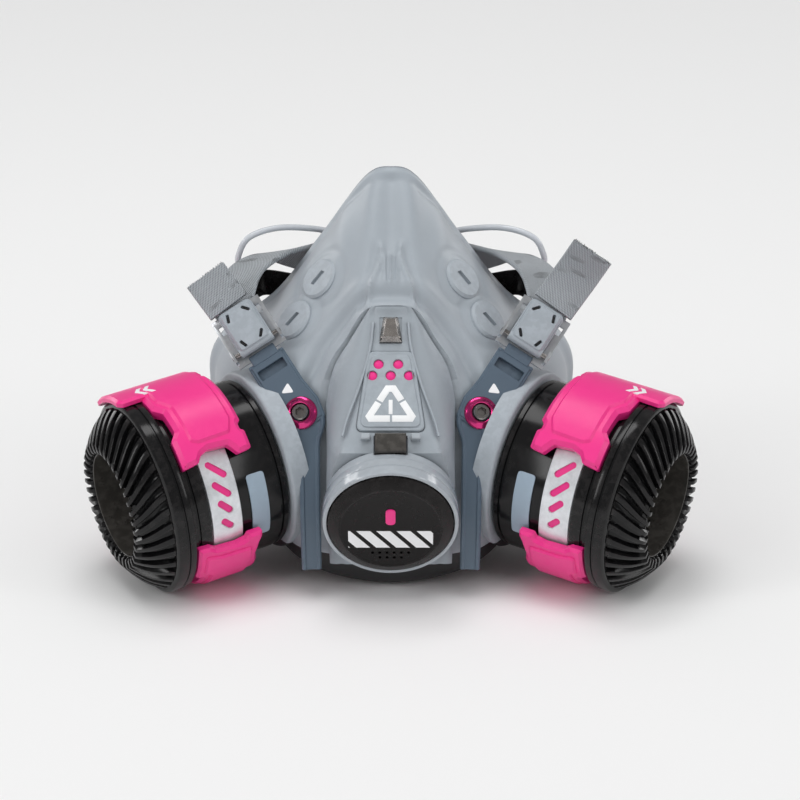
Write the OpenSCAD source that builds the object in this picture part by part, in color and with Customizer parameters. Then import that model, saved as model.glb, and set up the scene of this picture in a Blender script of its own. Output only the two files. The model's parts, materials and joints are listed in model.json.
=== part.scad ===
// Half-mask respirator with two round cartridges, resting on its chin and both cartridges.
// +X is the wearer's left, -Y is the front, +Z is up. The origin is under the middle of the mask.

/* [Cartridges] */
// Radius of the front bezel, the widest hard ring, which rests on the floor
bezel_r = 31; // [28:0.5:34]
// Depth of the canister body along its axis
canister_depth = 30; // [26:0.5:34]
// Radius of the canister body
canister_r = 28.5; // [26:0.25:30]
// Wall thickness of the canister
canister_wall = 2; // [1.2:0.1:3]
// Sideways splay of each cartridge, from the left-right line toward the front
splay = 28; // [20:1:36]
// Downward tilt of each cartridge
tilt = 7.5; // [4:0.5:10]
// Sideways place of the middle of each port face
port_x = 45.3; // [42:0.1:50]
// Front-back place of the middle of each port face
port_y = -6.7; // [-12:0.1:0]
// Radius of the air intake through the toothed cone
intake_bore_r = 16.5; // [12:0.25:18]
// Number of spiral teeth round the intake cone
tooth_count = 38; // [30:1:60]
// Thickness of the coloured guards
guard_wall = 4.6; // [3.4:0.1:5.4]
// Width of the slotted metal band
band_w = 10; // [7:0.25:11]

/* [Ports] */
// Radius of the tube that joins a cartridge to the facepiece
port_r = 24.6; // [22:0.1:25.5]
// Wall of that tube
port_wall = 3; // [2:0.1:4]
// Width of the soft flange round the tube
flange_w = 4; // [3:0.1:5]

/* [Exhalation valve] */
// Radius of the round cap
cap_r = 19.2; // [16:0.1:20]
// Height of the cap
cap_h = 8; // [6:0.25:10]
// Wall of the valve housing
housing_wall = 1.2; // [0.9:0.05:1.6]
// How far the valve axis points down
valve_tilt = 20; // [10:1:30]
// Thickness of each valve flap
flap_t = 0.8; // [0.5:0.05:1.2]

/* [Facepiece] */
// Wall of the soft facepiece
face_wall = 2.4; // [1.8:0.1:3]
// Wall of the hard front shell
shell_wall = 2.2; // [1.6:0.1:2.8]
// Height where the black chin cup meets the facepiece
chin_line = 13; // [9:0.5:16]
// Radius of the round slotted plugs
plug_r = 7; // [5:0.25:8]

/* [Harness] */
// Thickness of the harness arms
arm_t = 2.4; // [1.8:0.1:3]
// Width of the harness arms beside the buckle
arm_w = 12.6; // [10:0.2:14]
// Radius of the coloured cup washer
washer_r = 5.2; // [4:0.1:6]
// Radius of the arm bolt
bolt_r = 1.6; // [1.2:0.1:2]
// Width of the webbing
web_w = 14; // [10:0.5:16]
// Thickness of the webbing
web_t = 1.6; // [1.2:0.1:2.2]
// Diameter of the stiff yoke wire
yoke_d = 2; // [1.6:0.1:2.6]
// Length of the buckle lever
lever_l = 15.8; // [13:0.2:18]
// Width of the buckle lever
lever_w = 12; // [10:0.2:13.5]
// Radius of the lever pin
pin_r = 0.8; // [0.6:0.05:1]

/* [Fits] */
// Gap between two pieces that move past each other
run_gap = 0.35; // [0.3:0.05:0.6]
// Gap between two pieces that are fixed together
fix_gap = 0.15; // [0.1:0.05:0.3]

/* [Hidden] */
$fn = 64;

// ---- small vector and surface helpers ----
function unit(v) = v / norm(v);
function flip_x(p) = [-p[0], p[1], p[2]];
// One coordinate-wise Catmull-Rom step between b and c
function spline(a, b, c, d, t) =
    0.5 * ((2 * b) + (c - a) * t + (2 * a - 5 * b + 4 * c - d) * t * t
    + (3 * b - a - 3 * c + d) * t * t * t);
// Point at position s on an open row of control points
function row_at(row, s) =
    let (n = len(row) - 1, i = min(floor(s), n - 1), t = s - i,
         a = i > 0 ? row[i - 1] : 2 * row[0] - row[1],
         d = i + 2 <= n ? row[i + 2] : 2 * row[n] - row[n - 1])
    spline(a, row[i], row[i + 1], d, t);
// Closed solid through rings of equal length, with flat or fanned ends
module loft(rings) {
    n = len(rings[0]);
    m = len(rings);
    points = [for (r = rings) each r];
    sides = [for (j = [0 : m - 2]) for (i = [0 : n - 1])
        each [[j * n + i, (j + 1) * n + i, j * n + (i + 1) % n],
              [j * n + (i + 1) % n, (j + 1) * n + i, (j + 1) * n + (i + 1) % n]]];
    first = [for (i = [0 : n - 1]) i];
    last = [for (i = [n - 1 : -1 : 0]) (m - 1) * n + i];
    polyhedron(points, concat(sides, [first], [last]), convexity = 8);
}
// Closed ring-shaped solid through rings, with the last ring joined to the first
module ring_loft(rings) {
    n = len(rings[0]);
    m = len(rings);
    points = [for (r = rings) each r];
    sides = [for (j = [0 : m - 1]) for (i = [0 : n - 1])
        let (k = (j + 1) % m)
        each [[j * n + i, k * n + i, j * n + (i + 1) % n],
              [j * n + (i + 1) % n, k * n + i, k * n + (i + 1) % n]]];
    polyhedron(points, sides, convexity = 8);
}
// Closed solid through rings, with each end fanned to its own middle point
module domed_loft(rings, front, back) {
    n = len(rings[0]);
    m = len(rings);
    points = concat([for (r = rings) each r], [front, back]);
    sides = [for (j = [0 : m - 2]) for (i = [0 : n - 1])
        each [[j * n + i, (j + 1) * n + i, j * n + (i + 1) % n],
              [j * n + (i + 1) % n, (j + 1) * n + i, (j + 1) * n + (i + 1) % n]]];
    first = [for (i = [0 : n - 1]) [m * n, i, (i + 1) % n]];
    last = [for (i = [0 : n - 1]) [m * n + 1, (m - 1) * n + (i + 1) % n, (m - 1) * n + i]];
    polyhedron(points, concat(sides, first, last), convexity = 8);
}
// Closed ring-shaped solid: rings joined end to end
module looped(rings) {
    n = len(rings[0]);
    m = len(rings);
    points = [for (r = rings) each r];
    sides = [for (j = [0 : m - 1]) for (i = [0 : n - 1])
        let (k = (j + 1) % m)
        each [[j * n + i, k * n + i, j * n + (i + 1) % n],
              [j * n + (i + 1) % n, k * n + i, k * n + (i + 1) % n]]];
    polyhedron(points, sides, convexity = 8);
}
// Direction of an open path at point i
function heading(path, i) =
    unit(path[min(i + 1, len(path) - 1)] - path[max(i - 1, 0)]);
// Points of a smooth path through hand-chosen stations
function smooth(stations, steps) =
    [for (k = [0 : (len(stations) - 1) * steps]) row_at(stations, k / steps)];
// Round tube of diameter d along a path
module wire(path, d, sides = 8) {
    loft([for (i = [0 : len(path) - 1])
        let (h = heading(path, i), a = unit(cross(h, [0.1, 0.3, 1])), b = cross(h, a))
        [for (k = [0 : sides - 1])
            path[i] + d / 2 * (cos(k * 360 / sides) * a + sin(k * 360 / sides) * b)]]);
}

// ---- frames of reference ----
bezel_front = canister_depth + 8.4;
bezel_edge = 1;
// The bezel's widest edge rests on the floor
port_z = bezel_r * cos(tilt) + (bezel_front - bezel_edge) * sin(tilt);
// Front-most y of the mask, at the bezels
mask_front = port_y - (bezel_front - bezel_edge) * cos(tilt) * sin(splay)
    - bezel_r * sqrt(pow(sin(tilt) * sin(splay), 2) + pow(cos(splay), 2));
module each_side(side) {
    if (side > 0) children();
    else mirror([1, 0, 0]) children();
}
module both_sides() {
    children();
    mirror([1, 0, 0]) children();
}
// Cartridge frame: +z outward along the cartridge axis, +x up, origin at the port face
module at_port() {
    translate([port_x, port_y, port_z]) rotate([0, 90 + tilt, -splay])
        rotate([0, 0, 180]) children();
}
// Valve frame: +z out of the cap, +y up, origin at the middle of the cap's face
cap_centre = [0, -46, 29.3];
module at_valve() {
    translate(cap_centre) rotate([90 + valve_tilt, 0, 0]) children();
}
// Badge frame: +z out of the badge, +y up the slope, origin at the middle of the badge
badge_centre = [0, -27.5, 67];
badge_lean = 49.8;
module at_badge() {
    translate(badge_centre) rotate([badge_lean, 0, 0]) children();
}
// Arm frame: origin at the bolt, +y along the arm to the buckle, +z out of its face
arm_bolt = [27.8, -20, 57.1];
arm_along = unit([0.53, 0.5, 0.68]);
arm_side = unit(cross(arm_along, [0.115, -0.838, 0.527]));
arm_out = cross(arm_side, arm_along);
function arm_point(p) = arm_bolt + p[0] * arm_side + p[1] * arm_along + p[2] * arm_out;
module at_arm() {
    multmatrix([[arm_side[0], arm_along[0], arm_out[0], arm_bolt[0]],
                [arm_side[1], arm_along[1], arm_out[1], arm_bolt[1]],
                [arm_side[2], arm_along[2], arm_out[2], arm_bolt[2]],
                [0, 0, 0, 1]]) children();
}

// ---- facepiece ----
// Control rows from the nose ridge round to the chin; each runs from the shell to the rim
face_net = [
    [[0, -9, 88.4], [0, 4, 100.6], [0, 16, 112], [0, 28, 122.4]],
    [[8, -9.4, 87], [9.8, 4, 99], [9.4, 17, 110], [8.4, 30, 118.6]],
    [[13.8, -11, 78.5], [20, 4, 88], [23, 20, 96], [22, 36, 98.6]],
    [[19.2, -13.5, 70.5], [29, 1, 77], [35, 20, 81], [37, 41, 78]],
    [[22.2, -16, 59], [36, -9.5, 62.5], [48, 18, 64.5], [56.5, 43, 61.5]],
    [[22, -20.5, 46], [35, -13, 47], [53, 14, 48], [60, 43, 46]],
    [[21.6, -25, 30], [32, -19, 27], [47, 8, 24], [52, 36, 24]],
    [[20.4, -27, 14], [26, -21, 7.5], [32, -2, 4.5], [32, 22, 6]],
    [[0, -28, 9], [0, -23, 1.4], [0, -8, 0.4], [0, 13, 1.4]]];
face_steps = 4;
face_rows = 9;
net_half = len(face_net) - 1;
// Full ring of control columns: right side down, left side back up
function net_column(k) = k <= net_half ? face_net[k]
    : [for (p = face_net[2 * net_half - k]) flip_x(p)];
function wrap(k) = (k + 4 * net_half) % (2 * net_half);
// Surface point: u counts control columns round the face, v runs 0 at the shell to 1 at the rim
function face_point(u, v) =
    let (i = floor(u), t = u - i, s = v * 3)
    spline(row_at(net_column(wrap(i - 1)), s), row_at(net_column(wrap(i)), s),
           row_at(net_column(wrap(i + 1)), s), row_at(net_column(wrap(i + 2)), s), t);
function face_normal(u, v) =
    let (e = 0.02, du = face_point(u + e, v) - face_point(u - e, v),
         dv = face_point(u, min(v + e, 1)) - face_point(u, max(v - e, 0)))
    unit(cross(dv, du));
face_count = 2 * net_half * face_steps;
function face_ring(v, inset) = [for (k = [0 : face_count - 1])
    let (u = k / face_steps) face_point(u, v) + inset * face_normal(u, v)];
// Solid inside the facepiece's surface, set inward by a wall thickness
module face_body(inset, reach) {
    rings = [for (j = [0 : face_rows - 1]) face_ring(j / (face_rows - 1), inset)];
    rear = [for (p = face_ring(1, inset)) p + [0, reach, 0]];
    domed_loft(reach > 0 ? concat(rings, [rear]) : rings,
        [0, -15 + inset, 44], [0, 22 + reach, 60]);
}
flange_r = port_r + fix_gap + flange_w;
flange_z = -2;
boss_depth = 6.5;
pillar_depth = 12;
module boss(r, front, depth) {
    both_sides() at_port() translate([0, 0, front - depth]) cylinder(h = depth, r = r);
}
module plug_places() {
    both_sides() for (p = plug_list)
        translate(p[0]) multmatrix(look_along(p[1])) children();
}
// Rotation that turns +z to a direction
function look_along(d) =
    let (z = unit(d), x = unit(cross([0, 0, 1], z)), y = cross(z, x))
    [[x[0], y[0], z[0], 0], [x[1], y[1], z[1], 0], [x[2], y[2], z[2], 0], [0, 0, 0, 1]];
plug_depth = 1.2;
plug_proud = 0.8;
plug_upper_uv = [2.05, 0.46];
plug_lower_uv = [2.95, 0.4];
plug_list = [for (uv = [plug_upper_uv, plug_lower_uv])
    [face_point(uv[0], uv[1]), -face_normal(uv[0], uv[1])]];
module mask_solid() {
    difference() {
        union() {
            face_body(0, 0);
            boss(flange_r, flange_z, boss_depth);
            both_sides() at_arm() translate([0, 0, -pillar_depth])
                cylinder(h = pillar_depth - arm_t - fix_gap, r = nut_r + 2);
        }
        face_body(face_wall, 12);
        boss(port_r + fix_gap, 5, 40);
    }
}
mask_size = 200;
module facepiece() {
    color("lightslategray") difference() {
        intersection() {
            mask_solid();
            translate([-mask_size / 2, -mask_size / 2, chin_line])
                cube([mask_size, mask_size, mask_size]);
        }
        front_opening();
        valve_room();
        plug_places() translate([0, 0, -plug_depth - fix_gap])
            cylinder(h = 5, r = plug_r + fix_gap);
        both_sides() {
            at_arm() translate([0, 0, -arm_t - 2 * fix_gap - nut_h])
                cylinder(h = 12, r = nut_r + fix_gap);
            arm_room();
        }
    }
}
// Outline of the front shell seen from the front: half width at each height, top to bottom
shell_top = 87.6;
shell_foot = 10;
shell_levels = [
    // height, half width at the back edge, back edge y, half width of the front face
    [shell_top, 6.6, -9.6, 4.4],
    [78, 12.6, -11.8, 6.6],
    [69.8, 17.6, -14.2, 8.8],
    [59, 20, -17.4, 11.4],
    [47.5, 19.9, -21.4, 16.5],
    [36, 19.8, -24.8, 18],
    [24, 19.6, -26.4, 17.5],
    [shell_foot, 19, -27.8, 15]];
shell_gap = 0.4;
// Room behind the front shell, left open in the soft facepiece
module front_opening() {
    half = [for (l = shell_levels) [l[1] + shell_gap, l[0]]];
    top = [half[0][0], shell_top + shell_gap];
    foot = [half[len(half) - 1][0], shell_foot - shell_gap];
    side = concat([top], half, [foot]);
    n = len(side);
    translate([0, 10, 0]) rotate([90, 0, 0]) linear_extrude(70)
        polygon(concat(side, [for (i = [n - 1 : -1 : 0]) [-side[i][0], side[i][1]]]));
}
// Room for a harness arm where it lies in the soft facepiece
module arm_room() {
    g = fix_gap + 0.15;
    at_arm() translate([-arm_w / 2 - 1.8, -5, -arm_t - g])
        cube([arm_w + 1.8 + g, arm_reach + 5, 12]);
    first = [[arm_point([-1.2, -4, -arm_t])[0], arm_point([0, -4, -arm_t])[1],
              arm_point([0, -4, -arm_t])[2]], arm_w + 1];
    loft([for (st = concat([first], leg_stations, [leg_end]))
        let (p = st[0], w = st[1] / 2 + g)
        [p + [w, arm_t / 2 + g, 0], p + [w, -9, 3], p + [-w, -9, 3],
         p + [-w, arm_t / 2 + g, 0]]]);
}
module chin_cup() {
    color("black") difference() {
        intersection() {
            mask_solid();
            translate([-mask_size / 2, -mask_size / 2, 0])
                cube([mask_size, mask_size, chin_line - fix_gap]);
        }
        front_opening();
        valve_room();
        both_sides() arm_room();
    }
}
// Soft inner lip that turns in from the rim
seal_w = 9;
seal_t = 1.4;
module face_seal() {
    color("dimgray") looped([for (k = [0 : face_count - 1])
        let (u = k / face_steps, p = face_point(u, 1), c = [0, 36, 58],
             inward = unit([c[0] - p[0], 0, c[2] - p[2]]),
             rear = [0, 1, 0], q = p + rear * (run_gap + 0.4) + inward * 0.4)
        [q, q + inward * seal_w, q + rear * seal_t + inward * seal_w,
         q + rear * seal_t]]);
}

// ---- front shell and its trim ----
rings_depth = cap_h + 5.5;
// Front y of the shell at a height: the badge slope, then the back of the valve housing
function shell_front_y(z) = max(
    badge_centre[1] + (z - badge_centre[2]) * cos(badge_lean) / sin(badge_lean) + 0.6,
    cap_centre[1] + rings_depth * cos(valve_tilt)
        - (z - cap_centre[2] - rings_depth * sin(valve_tilt)) * tan(valve_tilt));
// C-shaped section of the shell at one level
function shell_section(l) =
    let (z = l[0], w = l[1], y = l[2], f = l[3], fy = min(shell_front_y(z), y - 0.8),
         mx = (w + f) / 2 + 0.9, my = (y + fy) / 2 - (y - fy) * 0.14,
         k = (w - shell_wall) / w, s = shell_wall)
    [[-w, y, z], [-mx, my, z], [-f, fy, z], [f, fy, z], [mx, my, z], [w, y, z],
     [w * k, y, z], [mx * k, my + s, z], [f * k, fy + s, z],
     [-f * k, fy + s, z], [-mx * k, my + s, z], [-w * k, y, z]];
shell_bore_r = 17.8;
recess = 0.9;
// Trapezium with rounded corners, wide end down
module badge_outline(grow) {
    offset(r = 1.6 + grow) polygon([[-9, -11.4], [9, -11.4], [5.5, 11.4], [-5.5, 11.4]]);
}
// Seat of the valve housing's rings
module valve_room() {
    at_valve() translate([0, 0, -rings_depth + 0.5 - fix_gap])
        cylinder(h = rings_depth, r = housing_r + fix_gap);
}
module front_shell() {
    color("lightslategray") difference() {
        loft([for (i = [len(shell_levels) - 1 : -1 : 0]) shell_section(shell_levels[i])]);
        at_valve() translate([0, 0, -60]) cylinder(h = 60, r = shell_bore_r + fix_gap);
        valve_room();
        at_badge() translate([0, 0, -recess - fix_gap]) linear_extrude(5)
            badge_outline(fix_gap);
        catch_room();
        at_badge() translate([0, stud_y, -stud_sink - fix_gap]) cube([stud_w + 2 * fix_gap,
            stud_l + 2 * fix_gap, 8], center = true);
    }
}
dot_r = 1.55;
dot_places = [[-3.7, 8.6], [2.3, 8.6], [-5.6, 4.9], [0, 4.9], [5.6, 4.9]];
badge_t = 1.5;
grille_t = 0.5;
module badge_plate() {
    color("slategray") at_badge() difference() {
        translate([0, 0, -recess]) linear_extrude(badge_t) badge_outline(0);
        for (p = dot_places) translate([p[0], p[1], -2]) cylinder(h = 4, r = dot_r);
        translate([0, 6.75, -recess - 0.1]) linear_extrude(grille_t + 0.2)
            square([13.9, 7.7], center = true);
        for (part = [0 : 3]) translate([0, 0, badge_t - recess - emblem_t])
            linear_extrude(2) offset(delta = 0.02) emblem_part(part);
    }
}
module badge_grille() {
    color("deeppink") at_badge() translate([0, 6.75, -recess])
        linear_extrude(grille_t) square([13.6, 7.4], center = true);
}
emblem_t = 0.35;
emblem_line = 2.1;
emblem_top = [0, 1.6];
emblem_foot = [6.7, -10.2];
emblem_break = 0.45;
// Outline of a triangle with cut corners
module emblem_triangle(inset) {
    offset(delta = -inset) polygon([[-emblem_foot[0], emblem_foot[1]],
        [emblem_foot[0], emblem_foot[1]], [emblem_foot[0] + 1, emblem_foot[1] + 1.8],
        [emblem_top[0] + 1.5, emblem_top[1]], [emblem_top[0] - 1.5, emblem_top[1]],
        [-emblem_foot[0] - 1, emblem_foot[1] + 1.8]]);
}
// Parts 0 to 2 are the sides of the broken triangle and part 3 is the plain bar inside it
module emblem_part(part) {
    middle = [0, -5.6];
    if (part == 3) {
        translate([0, -5.4]) square([1.2, 4.6], center = true);
    } else {
        intersection() {
            difference() {
                emblem_triangle(0);
                emblem_triangle(emblem_line);
            }
            translate(middle) rotate(part * 120 - 90) polygon([[0, emblem_break],
                [0, 0.01] + [20 * cos(120), 20 * sin(120)], [20, 20], [20, emblem_break]]);
        }
    }
}
module badge_emblem() {
    color("white") at_badge() for (part = [0 : 3])
        translate([0, 0, badge_t - recess - emblem_t]) linear_extrude(emblem_t)
            emblem_part(part);
}
stud_y = 20;
stud_w = 6.6;
stud_taper = 1.1;
stud_l = 8.4;
stud_h = 2.6;
stud_sink = 0.6;
// Outline of the stud, wider at its lower end
module stud_outline(inset) {
    w = stud_w / 2 - inset;
    l = stud_l / 2 - inset;
    polygon([[-w, -l], [w, -l], [w - stud_taper, l], [-w + stud_taper, l]]);
}
module nose_stud() {
    color("rosybrown") at_badge() translate([0, stud_y, -stud_sink]) hull() {
        linear_extrude(0.2, center = true) stud_outline(0);
        translate([0, 0, stud_h]) linear_extrude(0.2, center = true) stud_outline(1.2);
    }
}
module slotted_plugs() {
    color("lightslategray") plug_places() translate([0, 0, -plug_depth]) difference() {
        cylinder(h = plug_depth + plug_proud, r = plug_r);
        translate([0, 0, plug_depth + plug_proud]) cube([1, 4.2, 1.6], center = true);
    }
}

// ---- exhalation valve ----
lip_z = -2.2;
cup_r = cap_r + run_gap;
housing_r = cup_r + housing_wall;
cup_floor = -cap_h - run_gap;
neck_r = shell_bore_r;
neck_bore = 16;
neck_back = -27;
module valve_housing() {
    color("lightslategray") difference() {
        at_valve() difference() {
            union() {
                translate([0, 0, cup_floor - 1])
                    cylinder(h = lip_z - cup_floor + 1, r = housing_r);
                translate([0, 0, -rings_depth + 0.5])
                    cylinder(h = 3.8, r = housing_r - 0.7);
                translate([0, 0, neck_back]) cylinder(h = -neck_back - 10, r = neck_r);
            }
            translate([0, 0, cup_floor]) cylinder(h = 20, r = cup_r);
            translate([0, 0, neck_back - 1]) cylinder(h = 40, r = neck_bore);
        }
        catch_room();
    }
}
seat_z = -20;
seat_t = 1.6;
seat_r = neck_bore - fix_gap;
seat_bore = 12.4;
module valve_seat() {
    color("dimgray") at_valve() translate([0, 0, seat_z]) {
        difference() {
            cylinder(h = seat_t, r = seat_r);
            translate([0, 0, -1]) cylinder(h = 4, r = seat_bore);
        }
        intersection() {
            cylinder(h = seat_t, r = seat_bore + 0.5);
            union() for (k = [0 : 2]) rotate(k * 60)
                translate([-seat_r, -0.9, 0]) cube([2 * seat_r, 1.8, seat_t]);
        }
    }
}
flap_gap = 0.1;
module exhalation_flap() {
    color("dimgray") at_valve() translate([0, 0, seat_z + seat_t + flap_gap])
        cylinder(h = flap_t, r = seat_bore + 1.6);
}
cap_face_r = 14.6;
cap_wall = 1.8;
vent_rows = [[-10.2, 6], [-12.2, 4]];
module valve_cap() {
    color("black") at_valve() difference() {
        rotate_extrude() polygon([[0, -cap_h + 3], [cap_r - cap_wall, -cap_h + 3],
            [cap_r - cap_wall, -cap_h], [cap_r, -cap_h], [cap_r, -1.5], [cap_face_r, 0], [0, 0]]);
        translate([0, marker_y, -inlay_t]) linear_extrude(3) marker_outline(0.02);
        translate([0, 0, -inlay_t]) linear_extrude(3) offset(delta = 0.02) stripe_outline();
        for (r = vent_rows) for (k = [0 : r[1] - 1])
            translate([(k - (r[1] - 1) / 2) * 2.2, r[0], -cap_h]) cylinder(h = 20, r = 0.5);
    }
}
inlay_t = 0.4;
marker_y = 4.6;
module marker_outline(grow) {
    offset(r = 1.45 + grow) square([0.1, 3.3], center = true);
}
module cap_marker() {
    color("deeppink") at_valve() translate([0, marker_y, -inlay_t])
        linear_extrude(inlay_t + 0.15) marker_outline(0);
}
stripe_h = 6.8;
stripe_pitch = 6.1;
module stripe_outline() {
    translate([0, -4.6]) intersection() {
        square([26, stripe_h], center = true);
        for (k = [-3 : 3]) translate([k * stripe_pitch, 0])
            polygon([[-4, stripe_h / 2 + 0.1], [0.2, stripe_h / 2 + 0.1],
                [6.2, -stripe_h / 2 - 0.1], [2, -stripe_h / 2 - 0.1]]);
    }
}
module cap_stripes() {
    color("white") at_valve() translate([0, 0, -inlay_t])
        linear_extrude(inlay_t + 0.1) stripe_outline();
}
// ---- catch above the cap ----
catch_w = 9.6;
catch_l = 6;
catch_y = -17.6;
catch_top = 4;
catch_travel = 1.5;
catch_foot = -0.8;
leaf_t = 0.3;
room_depth = catch_foot - catch_travel - leaf_t - 2 * flap_gap;
module catch_room() {
    at_badge() translate([-catch_w / 2 - run_gap, catch_y - catch_l / 2 - run_gap, room_depth])
        cube([catch_w + 2 * run_gap, catch_l + 2 * run_gap, 14]);
}
module catch_button() {
    color("black") at_badge() translate([0, catch_y, 0]) union() {
        translate([-catch_w / 2, -catch_l / 2, catch_foot])
            cube([catch_w, catch_l, catch_top - 1.6 - catch_foot]);
        hull() {
            translate([-catch_w / 2, -catch_l / 2, catch_top - 1.7])
                cube([catch_w, catch_l, 0.1]);
            translate([-catch_w / 2 + 0.8, -catch_l / 2 + 0.8, catch_top - 0.1])
                cube([catch_w - 1.6, catch_l - 2.8, 0.1]);
        }
    }
}
// Leaf spring, drawn flat as it is when the button is pressed
module catch_spring() {
    color("silver") at_badge() translate([0, catch_y, room_depth + flap_gap + leaf_t / 2])
        cube([catch_w - 1, catch_l - 1, leaf_t], center = true);
}

// ---- harness ----
nut_r = 3;
nut_h = 3;
leg_w = 6.2;
pad_low = 24.2;
arm_reach = 21.4;
// Stations of the leg below the bolt: middle of the section and its width
leg_stations = [[[26, -23, 49.5], 7.4], [[25, -27.4, 41], leg_w], [[24.8, -31, 29], leg_w],
    [[24.6, -32.4, 18], leg_w]];
leg_end = [[24.5, -33.2, 8], leg_w];
module arm_upper() {
    translate([0, 0, -arm_t]) linear_extrude(arm_t) difference() {
        offset(r = 1) offset(delta = -1) polygon([[-arm_w / 2, arm_reach],
            [arm_w / 2, arm_reach], [arm_w / 2 - 0.4, 4], [arm_w / 2 - 2.2, -5],
            [-arm_w / 2 + 0.4, -5], [-arm_w / 2 - 0.9, 1.5]]);
        circle(r = bolt_r + fix_gap);
    }
    // Tongue over the buckle plate
    translate([-4.5, arm_reach - 1, -plate_drop + fix_gap])
        cube([9, 3.4, plate_drop - fix_gap]);
}
module leg_slab(i) {
    p = leg_stations[i][0];
    w = leg_stations[i][1];
    translate(p) rotate([i == 0 ? 35 : 22 - 6 * i, 0, 0])
        cube([w, arm_t, 0.6], center = true);
}
module harness_arm() {
    color("slategray") difference() {
        union() {
            at_arm() arm_upper();
            hull() {
                at_arm() translate([-5.8, -4.9, -arm_t]) cube([9.8, 0.5, arm_t]);
                leg_slab(0);
            }
            for (i = [0 : 2]) hull() {
                leg_slab(i);
                leg_slab(i + 1);
            }
        }
        at_arm() {
            translate([-4.6, 15.2, -1]) cube([9.2, 3.2, 2]);
            translate([0, 0, -0.6]) cylinder(h = 3, r = washer_r + fix_gap);
            translate([0, 8.6, -arrow_t]) linear_extrude(2) arrow_outline(0.03);
        }
    }
}
arrow_t = 0.4;
// Small plain triangle with rounded corners that points outward
module arrow_outline(grow) {
    offset(r = 0.5 + grow) polygon([[-1.1, -1.3], [-1.1, 1.3], [1.2, 0]]);
}
module arm_arrows() {
    color("white") both_sides() at_arm() translate([0, 8.6, -arrow_t])
        linear_extrude(arrow_t + 0.1) arrow_outline(0);
}
washer_t = 1.5;
head_r = 2.5;
module arm_washers() {
    color("deeppink") both_sides() at_arm() translate([0, 0, -0.6]) difference() {
        rotate_extrude() polygon([[bolt_r + fix_gap, 0], [washer_r, 0], [washer_r, washer_t - 0.5],
            [washer_r - 1.6, washer_t + 0.5], [head_r + 0.6, washer_t + 0.5],
            [head_r + 0.6, 0.5], [bolt_r + fix_gap, 0.5]]);
        translate([0, 0, -1]) cylinder(h = 5, r = bolt_r + fix_gap);
    }
}
module arm_bolts() {
    color("silver") both_sides() at_arm() translate([0, 0, -0.1]) difference() {
        union() {
            cylinder(h = 2.2, r = head_r);
            translate([0, 0, -arm_t - nut_h]) cylinder(h = arm_t + nut_h + 0.5, r = bolt_r);
        }
        translate([0, 0, 0.9]) cylinder(h = 3, r = 1.4, $fn = 6);
    }
}
module arm_nuts() {
    color("goldenrod") both_sides() at_arm() translate([0, 0, -arm_t - fix_gap - nut_h])
        difference() {
            cylinder(h = nut_h, r = nut_r);
            translate([0, 0, -1]) cylinder(h = nut_h + 2, r = bolt_r);
        }
}
plate_t = 0.9;
plate_drop = 1.1;
plate_half = 8.6;
ear_w = 0.9;
pin_y = pad_low + 1.6;
pin_z = pin_r + 0.7;
module buckle_plate() {
    color("silver") at_arm() difference() {
        union() {
            translate([-plate_half, 22.6, -plate_drop - plate_t])
                cube([2 * plate_half, 17.6, plate_t]);
            for (s = [-1, 1]) translate([s * (plate_half - ear_w / 2) - ear_w / 2, pin_y - 2,
                -plate_drop - 0.1]) cube([ear_w, 4, plate_drop + pin_z + 1.5]);
        }
        translate([0, pin_y, pin_z]) rotate([0, 90, 0])
            cylinder(h = 40, r = pin_r + fix_gap / 3, center = true);
        translate([-web_w / 2 - 0.5, 34.6, -5]) cube([web_w + 1, 3, 8]);
    }
}
module buckle_lever() {
    color("lightslategray") at_arm() difference() {
        union() {
            translate([-lever_w / 2, pad_low + 0.6, 0.2]) linear_extrude(1.9)
                offset(r = 1.4) offset(delta = -1.4) square([lever_w, lever_l - 0.6]);
            translate([0, 0, 2]) linear_extrude(0.9) translate([-lever_w / 2, pad_low + 0.6])
                offset(r = 1.4) offset(delta = -2) square([lever_w, lever_l - 0.6]);
            translate([0, pin_y, pin_z]) rotate([0, 90, 0])
                cylinder(h = lever_w, r = pin_r + 0.7, center = true);
        }
        translate([0, pin_y, pin_z]) rotate([0, 90, 0])
            cylinder(h = 40, r = pin_r + run_gap / 3, center = true);
    }
}
module lever_pins() {
    color("silver") both_sides() at_arm() translate([0, pin_y, pin_z]) rotate([0, 90, 0])
        cylinder(h = 2 * plate_half + 0.4, r = pin_r, center = true);
}
// Flat strap of width w along a path; side gives the width direction at each station
module strap(path, sides, w, t, steps) {
    n = len(path) - 1;
    mid = smooth(path, steps);
    loft([for (k = [0 : n * steps])
        let (h = heading(mid, k), s = unit(row_at(sides, k / steps)), a = unit(s - (s * h) * h),
             b = cross(h, a), w2 = w / 2, t2 = t / 2)
        [mid[k] - w2 * a - t2 * b, mid[k] + w2 * a - t2 * b,
         mid[k] + w2 * a + t2 * b, mid[k] - w2 * a + t2 * b]]);
}
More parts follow.
